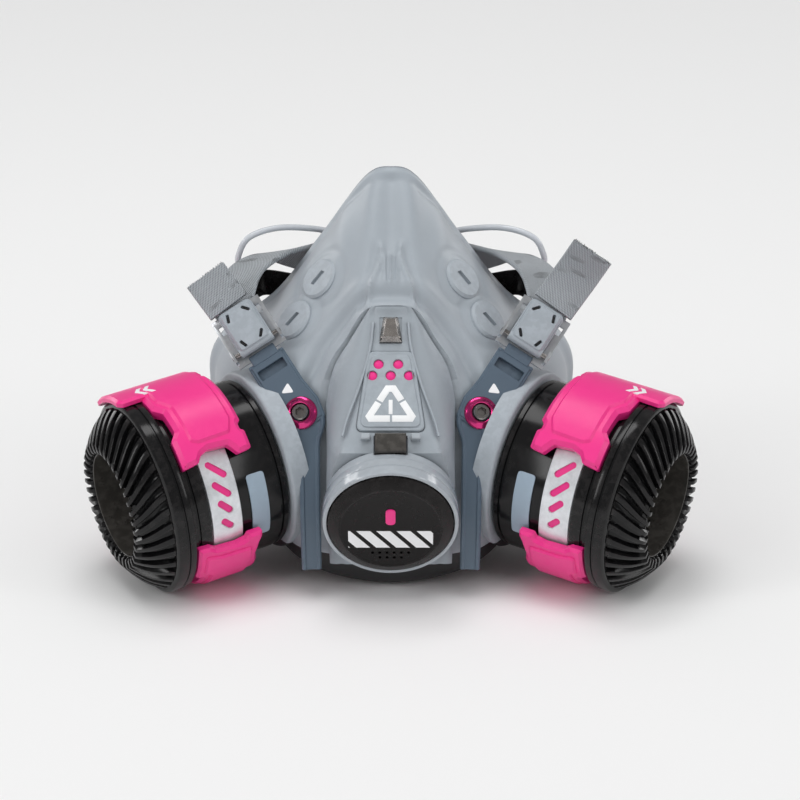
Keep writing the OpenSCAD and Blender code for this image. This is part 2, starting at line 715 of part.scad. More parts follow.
// Rearmost y of the head strap, which puts the origin under the middle of the whole mask
strap_rear = -mask_front - web_t / 2;
strap_half = [arm_point([-0.8, 39, -3.4]), arm_point([-1, 43.5, -6]), [46.5, 20, 90.5],
    [38, 34, 92], [29.5, 45.6, 88], [16, strap_rear - 1, 84], [0, strap_rear, 82.5]];
strap_turn = [arm_side, arm_side, [0.9, 0.38, -0.2], [0.75, 0.6, -0.25], [0.5, 0.5, -0.65],
    [0.1, 0.15, -0.97], [0, 0, -1]];
module head_strap() {
    n = len(strap_half);
    path = concat(strap_half, [for (k = [n - 2 : -1 : 0]) flip_x(strap_half[k])]);
    turn = concat(strap_turn, [for (k = [n - 2 : -1 : 0]) flip_x(strap_turn[k])]);
    color("gray") strap(path, turn, web_w, web_t, 4);
}
module strap_tails() {
    left = [for (p = [[1, 41.2, 0.4], [1.4, 47, 0.6], [1.8, 54, 0.6]]) flip_x(arm_point(p))];
    right = [for (p = [[1, 41.2, 0.4], [1.4, 48, 0.9], [1.8, 55, 3], [2, 61, 7.5]])
        arm_point(p)];
    color("gray") {
        strap(left, [for (p = left) flip_x(arm_side)], web_w, web_t, 2);
        strap(right, [for (p = right) arm_side], web_w, web_t, 3);
    }
}
yoke_half = [[49.5, 35, 87.6], [49.4, 34.4, 91.6], [46, 34.5, 97.4], [37, 38, 99.6], [25, 42.6, 98],
    [14, 45.5, 95], [0, 46, 93.5]];
module harness_yoke() {
    n = len(yoke_half);
    path = concat(yoke_half, [for (k = [n - 2 : -1 : 0]) flip_x(yoke_half[k])]);
    color("lightgray") wire(smooth(path, 4), yoke_d);
}
// Dark backing panels of the strap, behind the cheeks
module cradle_panels() {
    color("black") both_sides() strap([[46.8, 35, 79.6], [41.6, 44.4, 79.2], [31, 46.6, 77]],
        [[0.3, 0, 1], [0.2, 0, 1], [0.1, 0, 1]], 8.4, 1.2, 3);
}

// ---- inhalation ports ----
port_front = 1.2;
port_back = -6.4;
port_seat_z = -4.4;
port_seat_t = 1.6;
flap_seat_r = 14;
module inhalation_port() {
    color("black") at_port() {
        difference() {
            union() {
                translate([0, 0, port_back]) cylinder(h = port_front - port_back, r = port_r);
            }
            translate([0, 0, port_back - 1]) cylinder(h = 40, r = port_r - port_wall);
        }
        translate([0, 0, port_seat_z]) difference() {
            cylinder(h = port_seat_t, r = port_r - port_wall + 0.2);
            translate([0, 0, -1]) cylinder(h = 5, r = flap_seat_r);
        }
        intersection() {
            translate([0, 0, port_seat_z]) cylinder(h = port_seat_t, r = flap_seat_r + 0.5);
            union() for (k = [0 : 2]) rotate(k * 60)
                translate([-20, -0.9, port_seat_z]) cube([40, 1.8, port_seat_t]);
        }
    }
}
module inhalation_flap() {
    color("dimgray") at_port() translate([0, 0, port_seat_z - flap_gap - flap_t])
        cylinder(h = flap_t, r = flap_seat_r + 1.6);
}
gasket_t = 1.2;
module port_gaskets() {
    color("dimgray") both_sides() at_port() translate([0, 0, port_front]) difference() {
        cylinder(h = gasket_t, r = port_r - 0.2);
        translate([0, 0, -1]) cylinder(h = 4, r = port_r - port_wall + 0.2);
    }
}

// ---- cartridges ----
skirt_back = flange_z + 0.6;
skirt_in = port_r + 0.6;
rear_r = canister_r - 1.4;
rear_wall_z = port_front + gasket_t + run_gap;
cavity_z = rear_wall_z + canister_wall;
canister_front = canister_depth + 3;
step_z = canister_front - 7.4;
bezel_back = canister_front - 1;
outlet_r = 17;
module canister() {
    color("black") at_port() rotate_extrude() polygon([[outlet_r, rear_wall_z], [skirt_in, rear_wall_z],
            [skirt_in, skirt_back], [rear_r - 0.6, skirt_back], [rear_r, skirt_back + 0.6],
            [rear_r, step_z], [canister_r, step_z], [canister_r, canister_front],
            [canister_r - canister_wall, canister_front], [canister_r - canister_wall,
            step_z - 1], [rear_r - canister_wall, step_z - 2.5],
            [rear_r - canister_wall, cavity_z], [outlet_r, cavity_z]]);
}
// Sector of a tube between two radii, two angles and two heights
module sector(r0, r1, a0, a1, z0, z1) {
    rotate([0, 0, a0]) rotate_extrude(angle = a1 - a0)
        polygon([[r0, z0], [r1, z0], [r1, z1], [r0, z1]]);
}
label_from = 72;
label_to = 118;
label_t = 0.5;
module label_plate() {
    color("lightsteelblue") at_port() sector(rear_r + 0.05, rear_r + label_t, label_from, label_to,
        5.6, 11.8);
}
band_back = step_z - 0.3 - band_w;
band_t = 0.8;
slot_angles = [62.5, 75.5, 87, 99];
slot_lengths = [7.4, 7, 5.6, 4.8];
slot_w = 2.1;
module slotted_band() {
    color("silver") at_port() difference() {
        translate([0, 0, band_back]) difference() {
            cylinder(h = band_w, r = rear_r + band_t + 0.05);
            translate([0, 0, -1]) cylinder(h = band_w + 2, r = rear_r + 0.05);
        }
        for (turn = [0, 180]) for (k = [0 : 3])
            rotate([0, 0, turn + slot_angles[k]])
                translate([rear_r, 0, band_back + band_w / 2]) rotate([0, 90, 0])
                    rotate([0, 0, 45]) translate([0, 0, -3]) linear_extrude(8)
                        offset(r = slot_w / 2, $fn = 20)
                            square([0.02, slot_lengths[k] - slot_w], center = true);
    }
}
guard_in = canister_r + run_gap / 2;
guard_out = guard_in + guard_wall;
guard_back = 8.5;
bezel_clear = bezel_r + run_gap;
guard_upper_from = -72;
guard_upper_to = 58;
// Sector that cuts right through a guard
module guard_cut(a0, a1, z0, z1) {
    sector(guard_in - 2, guard_out + 2, a0, a1, z0, z1);
}
module guard_upper() {
    reach = bezel_front + 1.2;
    color("deeppink") at_port() difference() {
        sector(guard_in, guard_out, guard_upper_from, guard_upper_to, guard_back, reach);
        guard_cut(51, guard_upper_to + 4, 14, 25);
        guard_cut(30, guard_upper_to + 4, 31.4, reach + 4);
        guard_cut(16, 36, 29, reach + 3);
        guard_cut(2, 20, bezel_back - 0.3, reach + 2);
        guard_cut(guard_upper_from - 4, -36, bezel_back - 0.3, reach + 2);
        sector(guard_in - 1, bezel_clear, -40, 6, bezel_back - 0.25, reach + 1);
        rotate([0, 0, -4]) translate([guard_out - 0.5, 0, 27]) rotate([0, 90, 0])
            linear_extrude(3) chevron_outline(0.03);
    }
}
guard_lower_out = bezel_r + 0.5;
guard_lower_from = 108;
guard_lower_to = 238;
module guard_lower() {
    color("deeppink") at_port() difference() {
        sector(guard_in, guard_lower_out, guard_lower_from, guard_lower_to, 10, bezel_back - 0.3);
        guard_cut(guard_lower_from - 4, guard_lower_from + 3, 15, 27);
        guard_cut(guard_lower_from + 28, guard_lower_to + 4, 29, bezel_front);
    }
}
// Plain double chevron
module chevron_outline(grow) {
    for (x = [-1.6, 1]) translate([x, 0]) offset(delta = grow)
        polygon([[-1, -2.4], [1.2, -2.4], [-0.6 + 1.2, 0], [1.2, 2.4], [-1, 2.4], [-1.6, 0]]);
}
module guard_arrows() {
    color("white") at_port() rotate([0, 0, -4]) translate([guard_out - 0.5, 0, 27])
        rotate([0, 90, 0]) linear_extrude(0.3) chevron_outline(0);
}
filter_r = rear_r - canister_wall - 0.2;
module filter_media() {
    color("white") at_port() translate([0, 0, cavity_z + 0.2])
        cylinder(h = step_z - 4 - cavity_z, r = filter_r);
}
grille_t2 = 1.4;
module intake_grille() {
    color("dimgray") at_port() translate([0, 0, step_z + 1]) difference() {
        cylinder(h = grille_t2, r = canister_r - canister_wall - 0.2);
        for (ring = [0 : 2]) for (k = [0 : 5 + ring * 6])
            rotate([0, 0, k * 360 / (6 + ring * 6)]) translate([4.8 + ring * 5.2, 0, -1])
                cylinder(h = 5, r = 1.7);
    }
}
throat_back = canister_front - 4;
throat_r = canister_r - canister_wall - 0.65;
module front_bezel() {
    color("black") at_port() rotate_extrude() polygon([
        [canister_r + fix_gap, bezel_back], [bezel_r - 0.6, bezel_back],
        [bezel_r, bezel_back + 0.6], [bezel_r, bezel_front - bezel_edge],
        [bezel_r - bezel_edge, bezel_front], [intake_bore_r, bezel_front],
        [intake_bore_r, throat_back], [throat_r, throat_back],
        [throat_r, canister_front + fix_gap], [canister_r + fix_gap, canister_front + fix_gap]]);
}
tooth_h = 1.7;
cone_back_r = bezel_r - 1.8;
cone_front_r = intake_bore_r + fix_gap + tooth_h + 0.85;
cone_h = 9;
cone_steps = 4;
cone_twist = 18;
// One ring of the toothed cone: each tooth is a flat top between two sloping flanks
function cone_ring(t) =
    let (r = cone_back_r + (cone_front_r - cone_back_r) * t, h = tooth_h * (0.8 + 0.2 * t),
         z = bezel_front + fix_gap + cone_h * t)
    [for (k = [0 : tooth_count - 1]) for (q = [0, 0.28, 0.5, 0.78])
        let (a = (k + q) * 360 / tooth_count + cone_twist * t, s = q < 0.4 ? r : r - h,
             zz = q < 0.4 ? z : z - h * 0.6 * t)
        [s * cos(a), s * sin(a), zz]];
// One ring of the cone's bore, beside the toothed ring at the same height
function cone_bore_ring(t) =
    [for (k = [0 : tooth_count - 1]) for (q = [0, 0.28, 0.5, 0.78])
        let (a = (k + q) * 360 / tooth_count + cone_twist * t, r = intake_bore_r + fix_gap)
        [r * cos(a), r * sin(a), bezel_front + fix_gap + (cone_h - tooth_h * 0.6) * t]];
module intake_cone() {
    color("black") at_port() ring_loft(concat(
        [for (j = [0 : cone_steps]) cone_ring(j / cone_steps)],
        [for (j = [cone_steps : -1 : 0]) cone_bore_ring(j / cone_steps)]));
}

facepiece();
chin_cup();
face_seal();
front_shell();
badge_plate();
badge_grille();
badge_emblem();
nose_stud();
slotted_plugs();
valve_housing();
valve_seat();
exhalation_flap();
valve_cap();
cap_marker();
cap_stripes();
catch_button();
catch_spring();
each_side(1) harness_arm();  // harness_arm_left
each_side(-1) harness_arm();  // harness_arm_right
arm_bolts();
arm_washers();
arm_nuts();
arm_arrows();
each_side(1) buckle_plate();  // buckle_plate_left
each_side(-1) buckle_plate();  // buckle_plate_right
each_side(1) buckle_lever();  // buckle_lever_left
each_side(-1) buckle_lever();  // buckle_lever_right
lever_pins();
head_strap();
strap_tails();
harness_yoke();
cradle_panels();
each_side(1) inhalation_port();  // inhalation_port_left
each_side(-1) inhalation_port();  // inhalation_port_right
port_gaskets();
each_side(1) inhalation_flap();  // inhalation_flap_left
each_side(-1) inhalation_flap();  // inhalation_flap_right
each_side(1) canister();  // canister_left
each_side(-1) canister();  // canister_right
each_side(1) front_bezel();  // front_bezel_left
each_side(-1) front_bezel();  // front_bezel_right
each_side(1) intake_cone();  // intake_cone_left
each_side(-1) intake_cone();  // intake_cone_right
each_side(1) guard_upper();  // guard_upper_left
each_side(-1) guard_upper();  // guard_upper_right
each_side(1) guard_lower();  // guard_lower_left
each_side(-1) guard_lower();  // guard_lower_right
each_side(1) slotted_band();  // slotted_band_left
each_side(-1) slotted_band();  // slotted_band_right
each_side(1) intake_grille();  // intake_grille_left
each_side(-1) intake_grille();  // intake_grille_right
each_side(1) filter_media();  // filter_media_left
each_side(-1) filter_media();  // filter_media_right
each_side(1) label_plate();  // label_plate_left
each_side(-1) label_plate();  // label_plate_right
each_side(1) guard_arrows();  // guard_arrows_left
each_side(-1) guard_arrows();  // guard_arrows_right
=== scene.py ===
"""Half-mask respirator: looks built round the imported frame.

Sizes are millimetres until a shape becomes an object, which is in metres.
"""
import json
import logging
import math
import random
from collections.abc import Callable, Iterable, Sequence
from dataclasses import dataclass, field
from enum import Enum

import bmesh
import bpy
from mathutils import Matrix, Vector
from mathutils.geometry import delaunay_2d_cdt

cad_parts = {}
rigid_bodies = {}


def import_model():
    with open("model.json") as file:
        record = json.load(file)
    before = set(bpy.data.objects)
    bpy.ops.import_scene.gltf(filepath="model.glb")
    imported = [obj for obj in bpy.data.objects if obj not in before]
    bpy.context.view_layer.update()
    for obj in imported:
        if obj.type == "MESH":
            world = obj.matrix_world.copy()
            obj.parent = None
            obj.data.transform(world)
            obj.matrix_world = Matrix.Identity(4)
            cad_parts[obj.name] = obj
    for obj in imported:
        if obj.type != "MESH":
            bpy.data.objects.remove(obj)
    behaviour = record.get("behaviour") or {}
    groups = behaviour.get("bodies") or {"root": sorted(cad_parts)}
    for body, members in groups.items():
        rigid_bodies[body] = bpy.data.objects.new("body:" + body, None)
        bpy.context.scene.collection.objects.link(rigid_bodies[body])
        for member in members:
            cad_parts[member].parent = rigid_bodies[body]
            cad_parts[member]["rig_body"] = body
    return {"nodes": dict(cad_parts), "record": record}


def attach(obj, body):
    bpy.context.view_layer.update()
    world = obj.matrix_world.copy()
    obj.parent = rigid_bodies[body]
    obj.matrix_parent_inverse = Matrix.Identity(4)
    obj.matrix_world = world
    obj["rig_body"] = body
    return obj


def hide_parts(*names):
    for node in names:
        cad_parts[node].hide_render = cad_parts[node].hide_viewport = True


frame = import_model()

LOG = logging.getLogger("respirator")
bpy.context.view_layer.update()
MM = 0.001
Place = Callable[[float, float, float], Vector]
Outline = list[tuple[float, float]]


class Side(Enum):
    """Which half of the mask a piece belongs to, as the wearer has it."""

    LEFT = 1
    RIGHT = -1

    @property
    def word(self) -> str:
        """The side's name as the nodes spell it."""
        return self.name.lower()


# ---------------------------------------------------------------- vectors


def vec(*values: float) -> Vector:
    """A vector of three numbers."""
    return Vector(values)


def unit(v: Vector) -> Vector:
    """The vector at length one."""
    return v.normalized()


def flip(p: Vector) -> Vector:
    """The point on the other half of the mask."""
    return Vector((-p.x, p.y, p.z))


def bump(x: float, width: float) -> float:
    """A soft hill of height one at zero.

    Args:
        x: Distance from the hill's middle.
        width: Distance at which it has fallen to about a third.

    Returns:
        A value from 0 to 1.
    """
    return math.exp(-((x / width) ** 2))


def step(x: float, low: float, high: float) -> float:
    """A smooth rise from 0 at low to 1 at high."""
    t = min(max((x - low) / (high - low), 0.0), 1.0)
    return t * t * (3 - 2 * t)


def spline(a: Vector, b: Vector, c: Vector, d: Vector, t: float) -> Vector:
    """One Catmull-Rom step between b and c."""
    return 0.5 * (
        (2 * b)
        + (c - a) * t
        + (2 * a - 5 * b + 4 * c - d) * t * t
        + (3 * b - a - 3 * c + d) * t * t * t
    )


def row_at(row: Sequence[Vector], s: float) -> Vector:
    """Point at position s on an open row of control points.

    Args:
        row: The control points.
        s: Position, where whole numbers are the control points.

    Returns:
        The point.
    """
    n = len(row) - 1
    i = min(max(int(math.floor(s)), 0), n - 1)
    a = row[i - 1] if i > 0 else 2 * row[0] - row[1]
    d = row[i + 2] if i + 2 <= n else 2 * row[n] - row[n - 1]
    return spline(a, row[i], row[i + 1], d, s - i)


def smooth(row: Sequence[Vector], steps: int) -> list[Vector]:
    """Points of a smooth path through stations."""
    return [row_at(row, k / steps) for k in range((len(row) - 1) * steps + 1)]


@dataclass(frozen=True)
class Axes:
    """A local frame: where it stands and its three directions."""

    origin: Vector
    x: Vector
    y: Vector
    z: Vector

    def at(self, x: float, y: float, z: float) -> Vector:
        """The point with these local coordinates, in the mask's frame."""
        return self.origin + self.x * x + self.y * y + self.z * z

    def round_at(self, angle: float, radius: float, z: float) -> Vector:
        """The point at an angle in degrees, a radius and a height in the frame."""
        a = math.radians(angle)
        return self.at(radius * math.cos(a), radius * math.sin(a), z)

    def mirrored(self) -> "Axes":
        """The same frame on the other half. It is left-handed."""
        return Axes(flip(self.origin), flip(self.x), flip(self.y), flip(self.z))


def tilted(origin: Vector, lean: float) -> Axes:
    """A frame whose z leans forward from straight up by an angle in degrees."""
    a = math.radians(lean)
    return Axes(origin, vec(1, 0, 0), vec(0, math.cos(a), math.sin(a)), vec(0, -math.sin(a), math.cos(a)))


@dataclass(frozen=True)
class Layout:
    """Where the mask's local frames stand."""

    bezel_r: float = 31.0
    bezel_front: float = 38.4
    tilt: float = 7.5
    splay: float = 28.0

    def port(self) -> Axes:
        """Cartridge frame: z outward along the cartridge, x up, origin at the port's face."""
        t = math.radians(self.tilt)
        s = math.radians(self.splay)
        z = vec(math.cos(t) * math.cos(s), -math.cos(t) * math.sin(s), -math.sin(t))
        x = vec(math.sin(t) * math.cos(s), -math.sin(t) * math.sin(s), math.cos(t))
        height = self.bezel_r * math.cos(t) + (self.bezel_front - 1) * math.sin(t)
        return Axes(vec(45.3, -6.7, height), x, z.cross(x), z)

    def valve(self) -> Axes:
        """Valve frame: z out of the cap, y up."""
        return tilted(vec(0, -46, 29.3), 110)

    def badge(self) -> Axes:
        """Badge frame: z out of the badge, y up its slope."""
        return tilted(vec(0, -27.5, 67), 49.8)

    def arm(self) -> Axes:
        """Arm frame: origin at the bolt, y along the arm, z out of its face."""
        along = unit(vec(0.53, 0.5, 0.68))
        side = unit(along.cross(vec(0.115, -0.838, 0.527)))
        return Axes(vec(27.8, -20, 57.1), side, along, side.cross(along))


LAYOUT = Layout()
PORT = LAYOUT.port()
VALVE = LAYOUT.valve()
BADGE = LAYOUT.badge()
ARM = LAYOUT.arm()


# ---------------------------------------------------------------- shapes


@dataclass
class Shape:
    """A mesh being put together, in millimetres."""

    points: list[Vector] = field(default_factory=list)
    faces: list[tuple[int, ...]] = field(default_factory=list)

    def add(self, points: Iterable[Vector], faces: Iterable[tuple[int, ...]]) -> "Shape":
        """Adds points and the faces that use them, numbered from 0."""
        start = len(self.points)
        self.points.extend(points)
        self.faces.extend(tuple(start + i for i in f) for f in faces)
        return self

    def grid(self, rows: Sequence[Sequence[Vector]], loop: bool = True, ring: bool = False) -> "Shape":
        """Adds a skin through rows of equal length.

        Args:
            rows: The rows of points.
            loop: Each row closes on itself.
            ring: The last row joins the first.

        Returns:
            The shape.
        """
        n = len(rows[0])
        m = len(rows)
        faces = []
        for j in range(m if ring else m - 1):
            k = (j + 1) % m
            for i in range(n if loop else n - 1):
                q = (i + 1) % n
                faces.append((j * n + i, j * n + q, k * n + q, k * n + i))
        return self.add([p for r in rows for p in r], faces)

    def tube(self, rows: Sequence[Sequence[Vector]]) -> "Shape":
        """Adds a closed solid through closed rows, with flat ends."""
        start = len(self.points)
        self.grid(rows)
        n = len(rows[0])
        last = start + n * (len(rows) - 1)
        self.faces.append(tuple(start + i for i in reversed(range(n))))
        self.faces.append(tuple(last + i for i in range(n)))
        return self

    def join(self, other: "Shape") -> "Shape":
        """Adds another shape's points and faces."""
        return self.add(other.points, other.faces)

    def mirrored(self) -> "Shape":
        """The shape on the other half of the mask."""
        return Shape([flip(p) for p in self.points], [tuple(reversed(f)) for f in self.faces])

    def on(self, side: Side) -> "Shape":
        """The shape as it is on that half."""
        return self if side is Side.LEFT else self.mirrored()

    def mesh(self, name: str) -> bpy.types.Mesh:
        """The shape as a mesh in metres, with its faces turned outward."""
        made = bpy.data.meshes.new(name)
        made.from_pydata([p * MM for p in self.points], [], self.faces)
        work = bmesh.new()
        work.from_mesh(made)
        bmesh.ops.remove_doubles(work, verts=work.verts, dist=2e-6)
        bmesh.ops.recalc_face_normals(work, faces=work.faces)
        work.to_mesh(made)
        work.free()
        return made


def lathe(axes: Axes, profile: Sequence[tuple[float, float]], turns: int = 128) -> Shape:
    """A ring-shaped solid turned from a closed profile.

    Args:
        axes: The frame it turns in, about z.
        profile: (radius, height) points in order.
        turns: How many steps make a full turn.

    Returns:
        The shape. A profile that touches the axis closes there.
    """
    rows = [[axes.round_at(360 * k / turns, r, z) for r, z in profile] for k in range(turns)]
    return Shape().grid(rows, loop=True, ring=True)


def rounded(corners: Sequence[tuple[float, ...]], radius: float, steps: int = 4) -> Outline:
    """Rounds the corners of a closed outline.

    Args:
        corners: (x, y) or (x, y, radius) points in order.
        radius: The radius where a corner has none of its own.
        steps: How many pieces each arc has.

    Returns:
        The rounded outline.
    """
    made: Outline = []
    n = len(corners)
    for i in range(n):
        p = Vector(corners[i][:2])
        before = Vector(corners[i - 1][:2]) - p
        after = Vector(corners[(i + 1) % n][:2]) - p
        r = corners[i][2] if len(corners[i]) > 2 else radius
        if r <= 0 or before.length < 1e-6 or after.length < 1e-6:
            made.append((p.x, p.y))
            continue
        half = before.angle(after) / 2
        reach = r / math.tan(half) if math.tan(half) > 1e-4 else 0
        limit = 0.48 * min(before.length, after.length)
        reach = min(reach, limit)
        a = p + before.normalized() * reach
        b = p + after.normalized() * reach
        for k in range(steps + 1):
            t = k / steps
            q = a * (1 - t) ** 2 + p * 2 * t * (1 - t) + b * t**2
            made.append((q.x, q.y))
    return made


def inset(outline: Outline, depth: float) -> Outline:
    """Moves every point of an anticlockwise outline inward by a depth."""
    made: Outline = []
    n = len(outline)
    for i in range(n):
        p = Vector(outline[i])
        a = (p - Vector(outline[i - 1])).normalized()
        b = (Vector(outline[(i + 1) % n]) - p).normalized()
        na = Vector((-a.y, a.x))
        nb = Vector((-b.y, b.x))
        m = na + nb
        if m.length < 1e-6:
            m = na
        m.normalize()
        grow = depth / max(m.dot(na), 0.5)
        made.append((p.x + m.x * grow, p.y + m.y * grow))
    return made


def turned(outline: Outline) -> Outline:
    """The outline in anticlockwise order."""
    area = sum(
        outline[i - 1][0] * outline[i][1] - outline[i][0] * outline[i - 1][1] for i in range(len(outline))
    )
    return outline if area > 0 else outline[::-1]


def split(outline: Outline, reach: float) -> Outline:
    """Adds points so that no edge is longer than a reach."""
    made: Outline = []
    for i, p in enumerate(outline):
        q = outline[(i + 1) % len(outline)]
        n = max(1, math.ceil(math.dist(p, q) / reach))
        for k in range(n):
            made.append((p[0] + (q[0] - p[0]) * k / n, p[1] + (q[1] - p[1]) * k / n))
    return made


def filled(
    outlines: Sequence[Outline], spacing: float
) -> tuple[list[tuple[float, float]], list[tuple[int, ...]]]:
    """Triangles over an outline and round the holes in it.

    Args:
        outlines: The outer outline, then each hole's.
        spacing: Distance between the points put inside, or 0 for none.

    Returns:
        The points and the triangles.
    """
    points = [Vector(p) for o in outlines for p in o]
    edges = []
    start = 0
    for o in outlines:
        edges.extend((start + i, start + (i + 1) % len(o)) for i in range(len(o)))
        start += len(o)
    if spacing > 0:
        xs = [p.x for p in points]
        ys = [p.y for p in points]
        x = min(xs) + spacing / 2
        while x < max(xs):
            y = min(ys) + spacing / 2
            while y < max(ys):
                near = min((Vector((x, y)) - p).length for p in points[:start])
                if near > spacing * 0.4:
                    points.append(Vector((x, y)))
                y += spacing
            x += spacing
    verts, _, tris, _, _, _ = delaunay_2d_cdt(points, edges, [], 0, 1e-5)
    flat = [(v.x, v.y) for v in verts]
    kept = []
    for t in tris:
        cx = sum(flat[i][0] for i in t) / 3
        cy = sum(flat[i][1] for i in t) / 3
        if inside(cx, cy, outlines[0]) and not any(inside(cx, cy, o) for o in outlines[1:]):
            kept.append(tuple(t))
    return flat, kept


def inside(x: float, y: float, outline: Outline) -> bool:
    """Whether a point lies inside an outline."""
    found = False
    for i in range(len(outline)):
        x0, y0 = outline[i - 1]
        x1, y1 = outline[i]
        if (y0 > y) != (y1 > y) and x < (x1 - x0) * (y - y0) / (y1 - y0) + x0:
            found = not found
    return found


def plate(
    place: Place,
    outline: Outline,
    low: float,
    high: float,
    chamfer: float = 0.3,
    slope: float = 1.0,
    holes: Sequence[Outline] = (),
    spacing: float = 0.0,
    reach: float = 50.0,
) -> Shape:
    """A plate with chamfered upper edges, laid on any surface.

    Args:
        place: Gives the point for two flat coordinates and a height.
        outline: The plate's outline.
        low: Height of its underside.
        high: Height of its upper face.
        chamfer: Width of the chamfer round the upper face.
        slope: Height of the chamfer for each millimetre of its width.
        holes: Outlines of holes right through.
        spacing: Distance between points inside the faces, for a curved surface.
        reach: Longest edge allowed on the outline.

    Returns:
        The shape.
    """
    made = Shape()
    rims = [split(turned(list(outline)), reach)] + [split(turned(list(h)), reach) for h in holes]
    small = chamfer * 0.3
    layers: list[list[Outline]] = []
    heights = [low, high - chamfer * slope, high - small * slope, high]
    widths = [0.0, 0.0, chamfer - small, chamfer]
    for w in widths:
        layers.append([inset(rims[0], w)] + [inset(h, -min(w, 0.12)) for h in rims[1:]])
    for number in range(len(rims)):
        rows = [[place(x, y, z) for x, y in layer[number]] for layer, z in zip(layers, heights)]
        made.grid(rows)
    for layer, z in ((layers[-1], high), (layers[0], low)):
        flat, tris = filled(layer, spacing)
        made.add([place(x, y, z) for x, y in flat], tris)
    return made


def sweep(
    path: Sequence[Vector], sides: Sequence[Vector], section: Outline,
    grow: Callable[[float], float] | None = None
) -> Shape:
    """A solid swept along a path.

    Args:
        path: The path's points.
        sides: The direction of the section's width at each point.
        section: The section's outline, width first and thickness second.
        grow: Scale of the section's width from the path's start, 0, to its end, 1.

    Returns:
        The shape.
    """
    rows = []
    n = len(path)
    for k, p in enumerate(path):
        h = unit(path[min(k + 1, n - 1)] - path[max(k - 1, 0)])
        a = unit(sides[k] - h * sides[k].dot(h))
        b = h.cross(a)
        w = grow(k / (n - 1)) if grow else 1.0
        rows.append([p + a * x * w + b * y for x, y in section])
    return Shape().tube(rows)


def clipped(outline: Outline, low: float, high: float) -> Outline:
    """The part of an outline between two upright lines."""
    made = outline
    for limit, keep in ((low, 1), (high, -1)):
        part: Outline = []
        for i, p in enumerate(made):
            q = made[i - 1]
            if (p[0] - limit) * keep >= 0:
                if (q[0] - limit) * keep < 0:
                    t = (limit - q[0]) / (p[0] - q[0])
                    part.append((limit, q[1] + (p[1] - q[1]) * t))
                part.append(p)
            elif (q[0] - limit) * keep >= 0 and q[0] != p[0]:
                t = (limit - q[0]) / (p[0] - q[0])
                part.append((limit, q[1] + (p[1] - q[1]) * t))
        made = part
    return made


def circle(r: float, count: int = 24, x: float = 0.0, y: float = 0.0) -> Outline:
    """A round outline."""
    return [
        (x + r * math.cos(2 * math.pi * k / count), y + r * math.sin(2 * math.pi * k / count))
        for k in range(count)
    ]


def box_outline(w: float, h: float, x: float = 0.0, y: float = 0.0) -> Outline:
    """A rectangle about a middle point."""
    return [(x - w / 2, y - h / 2), (x + w / 2, y - h / 2), (x + w / 2, y + h / 2), (x - w / 2, y + h / 2)]


# ---------------------------------------------------------------- finishes

Socket = bpy.types.NodeSocket
Tree = bpy.types.NodeTree


def wire_in(tree: Tree, target: Socket, source: Socket | float | Sequence[float]) -> None:
    """Feeds a socket from another socket or gives it a value."""
    if isinstance(source, bpy.types.NodeSocket):
        tree.links.new(source, target)
    else:
        target.default_value = source


def math_node(tree: Tree, operation: str, *values: Socket | float) -> Socket:
    """Adds a maths node and returns its result."""
    made = tree.nodes.new("ShaderNodeMath")
    made.operation = operation
    for i, v in enumerate(values):
        wire_in(tree, made.inputs[i], v)
    return made.outputs[0]


def remap(tree: Tree, value: Socket, low: float, high: float, to_low: float, to_high: float) -> Socket:
    """Adds a smooth, clamped change of range and returns its result."""
    made = tree.nodes.new("ShaderNodeMapRange")
    made.interpolation_type = "SMOOTHSTEP"
    wire_in(tree, made.inputs["Value"], value)
    for name, v in (("From Min", low), ("From Max", high), ("To Min", to_low), ("To Max", to_high)):
        made.inputs[name].default_value = v
    return made.outputs["Result"]


def noise(
    tree: Tree, vector: Socket, scale: float | Socket, detail: float = 3.0, rough: float = 0.55
) -> Socket:
    """Adds a noise texture and returns its value."""
    made = tree.nodes.new("ShaderNodeTexNoise")
    wire_in(tree, made.inputs["Vector"], vector)
    wire_in(tree, made.inputs["Scale"], scale)
    made.inputs["Detail"].default_value = detail
    made.inputs["Roughness"].default_value = rough
    return made.outputs["Fac"]


def mix_colour(
    tree: Tree, factor: Socket | float, a: Socket | Sequence[float], b: Socket | Sequence[float]
) -> Socket:
    """Adds a colour mix and returns its result."""
    made = tree.nodes.new("ShaderNodeMix")
    made.data_type = "RGBA"
    wire_in(tree, made.inputs[0], factor)
    wire_in(tree, made.inputs[6], a)
    wire_in(tree, made.inputs[7], b)
    return made.outputs[2]


@dataclass
class GroupMaker:
    """Makes a shader node group with named sockets."""

    name: str
    inputs: dict[str, float | tuple[float, ...]]
    outputs: dict[str, str]

    def start(self) -> tuple[Tree, bpy.types.Node, bpy.types.Node]:
        """Makes the group with its input and output nodes.

        Returns:
            The group's tree, its input node and its output node.
        """
        tree = bpy.data.node_groups.new(self.name, "ShaderNodeTree")
        for name, value in self.inputs.items():
            kind = "NodeSocketColor" if isinstance(value, tuple) else "NodeSocketFloat"
            made = tree.interface.new_socket(name=name, in_out="INPUT", socket_type=kind)
            made.default_value = value
        for name, kind in self.outputs.items():
            tree.interface.new_socket(name=name, in_out="OUTPUT", socket_type=kind)
        return tree, tree.nodes.new("NodeGroupInput"), tree.nodes.new("NodeGroupOutput")


def object_place(tree: Tree) -> Socket:
    """The surface's place on the piece itself."""
    return tree.nodes.new("ShaderNodeTexCoord").outputs["Object"]


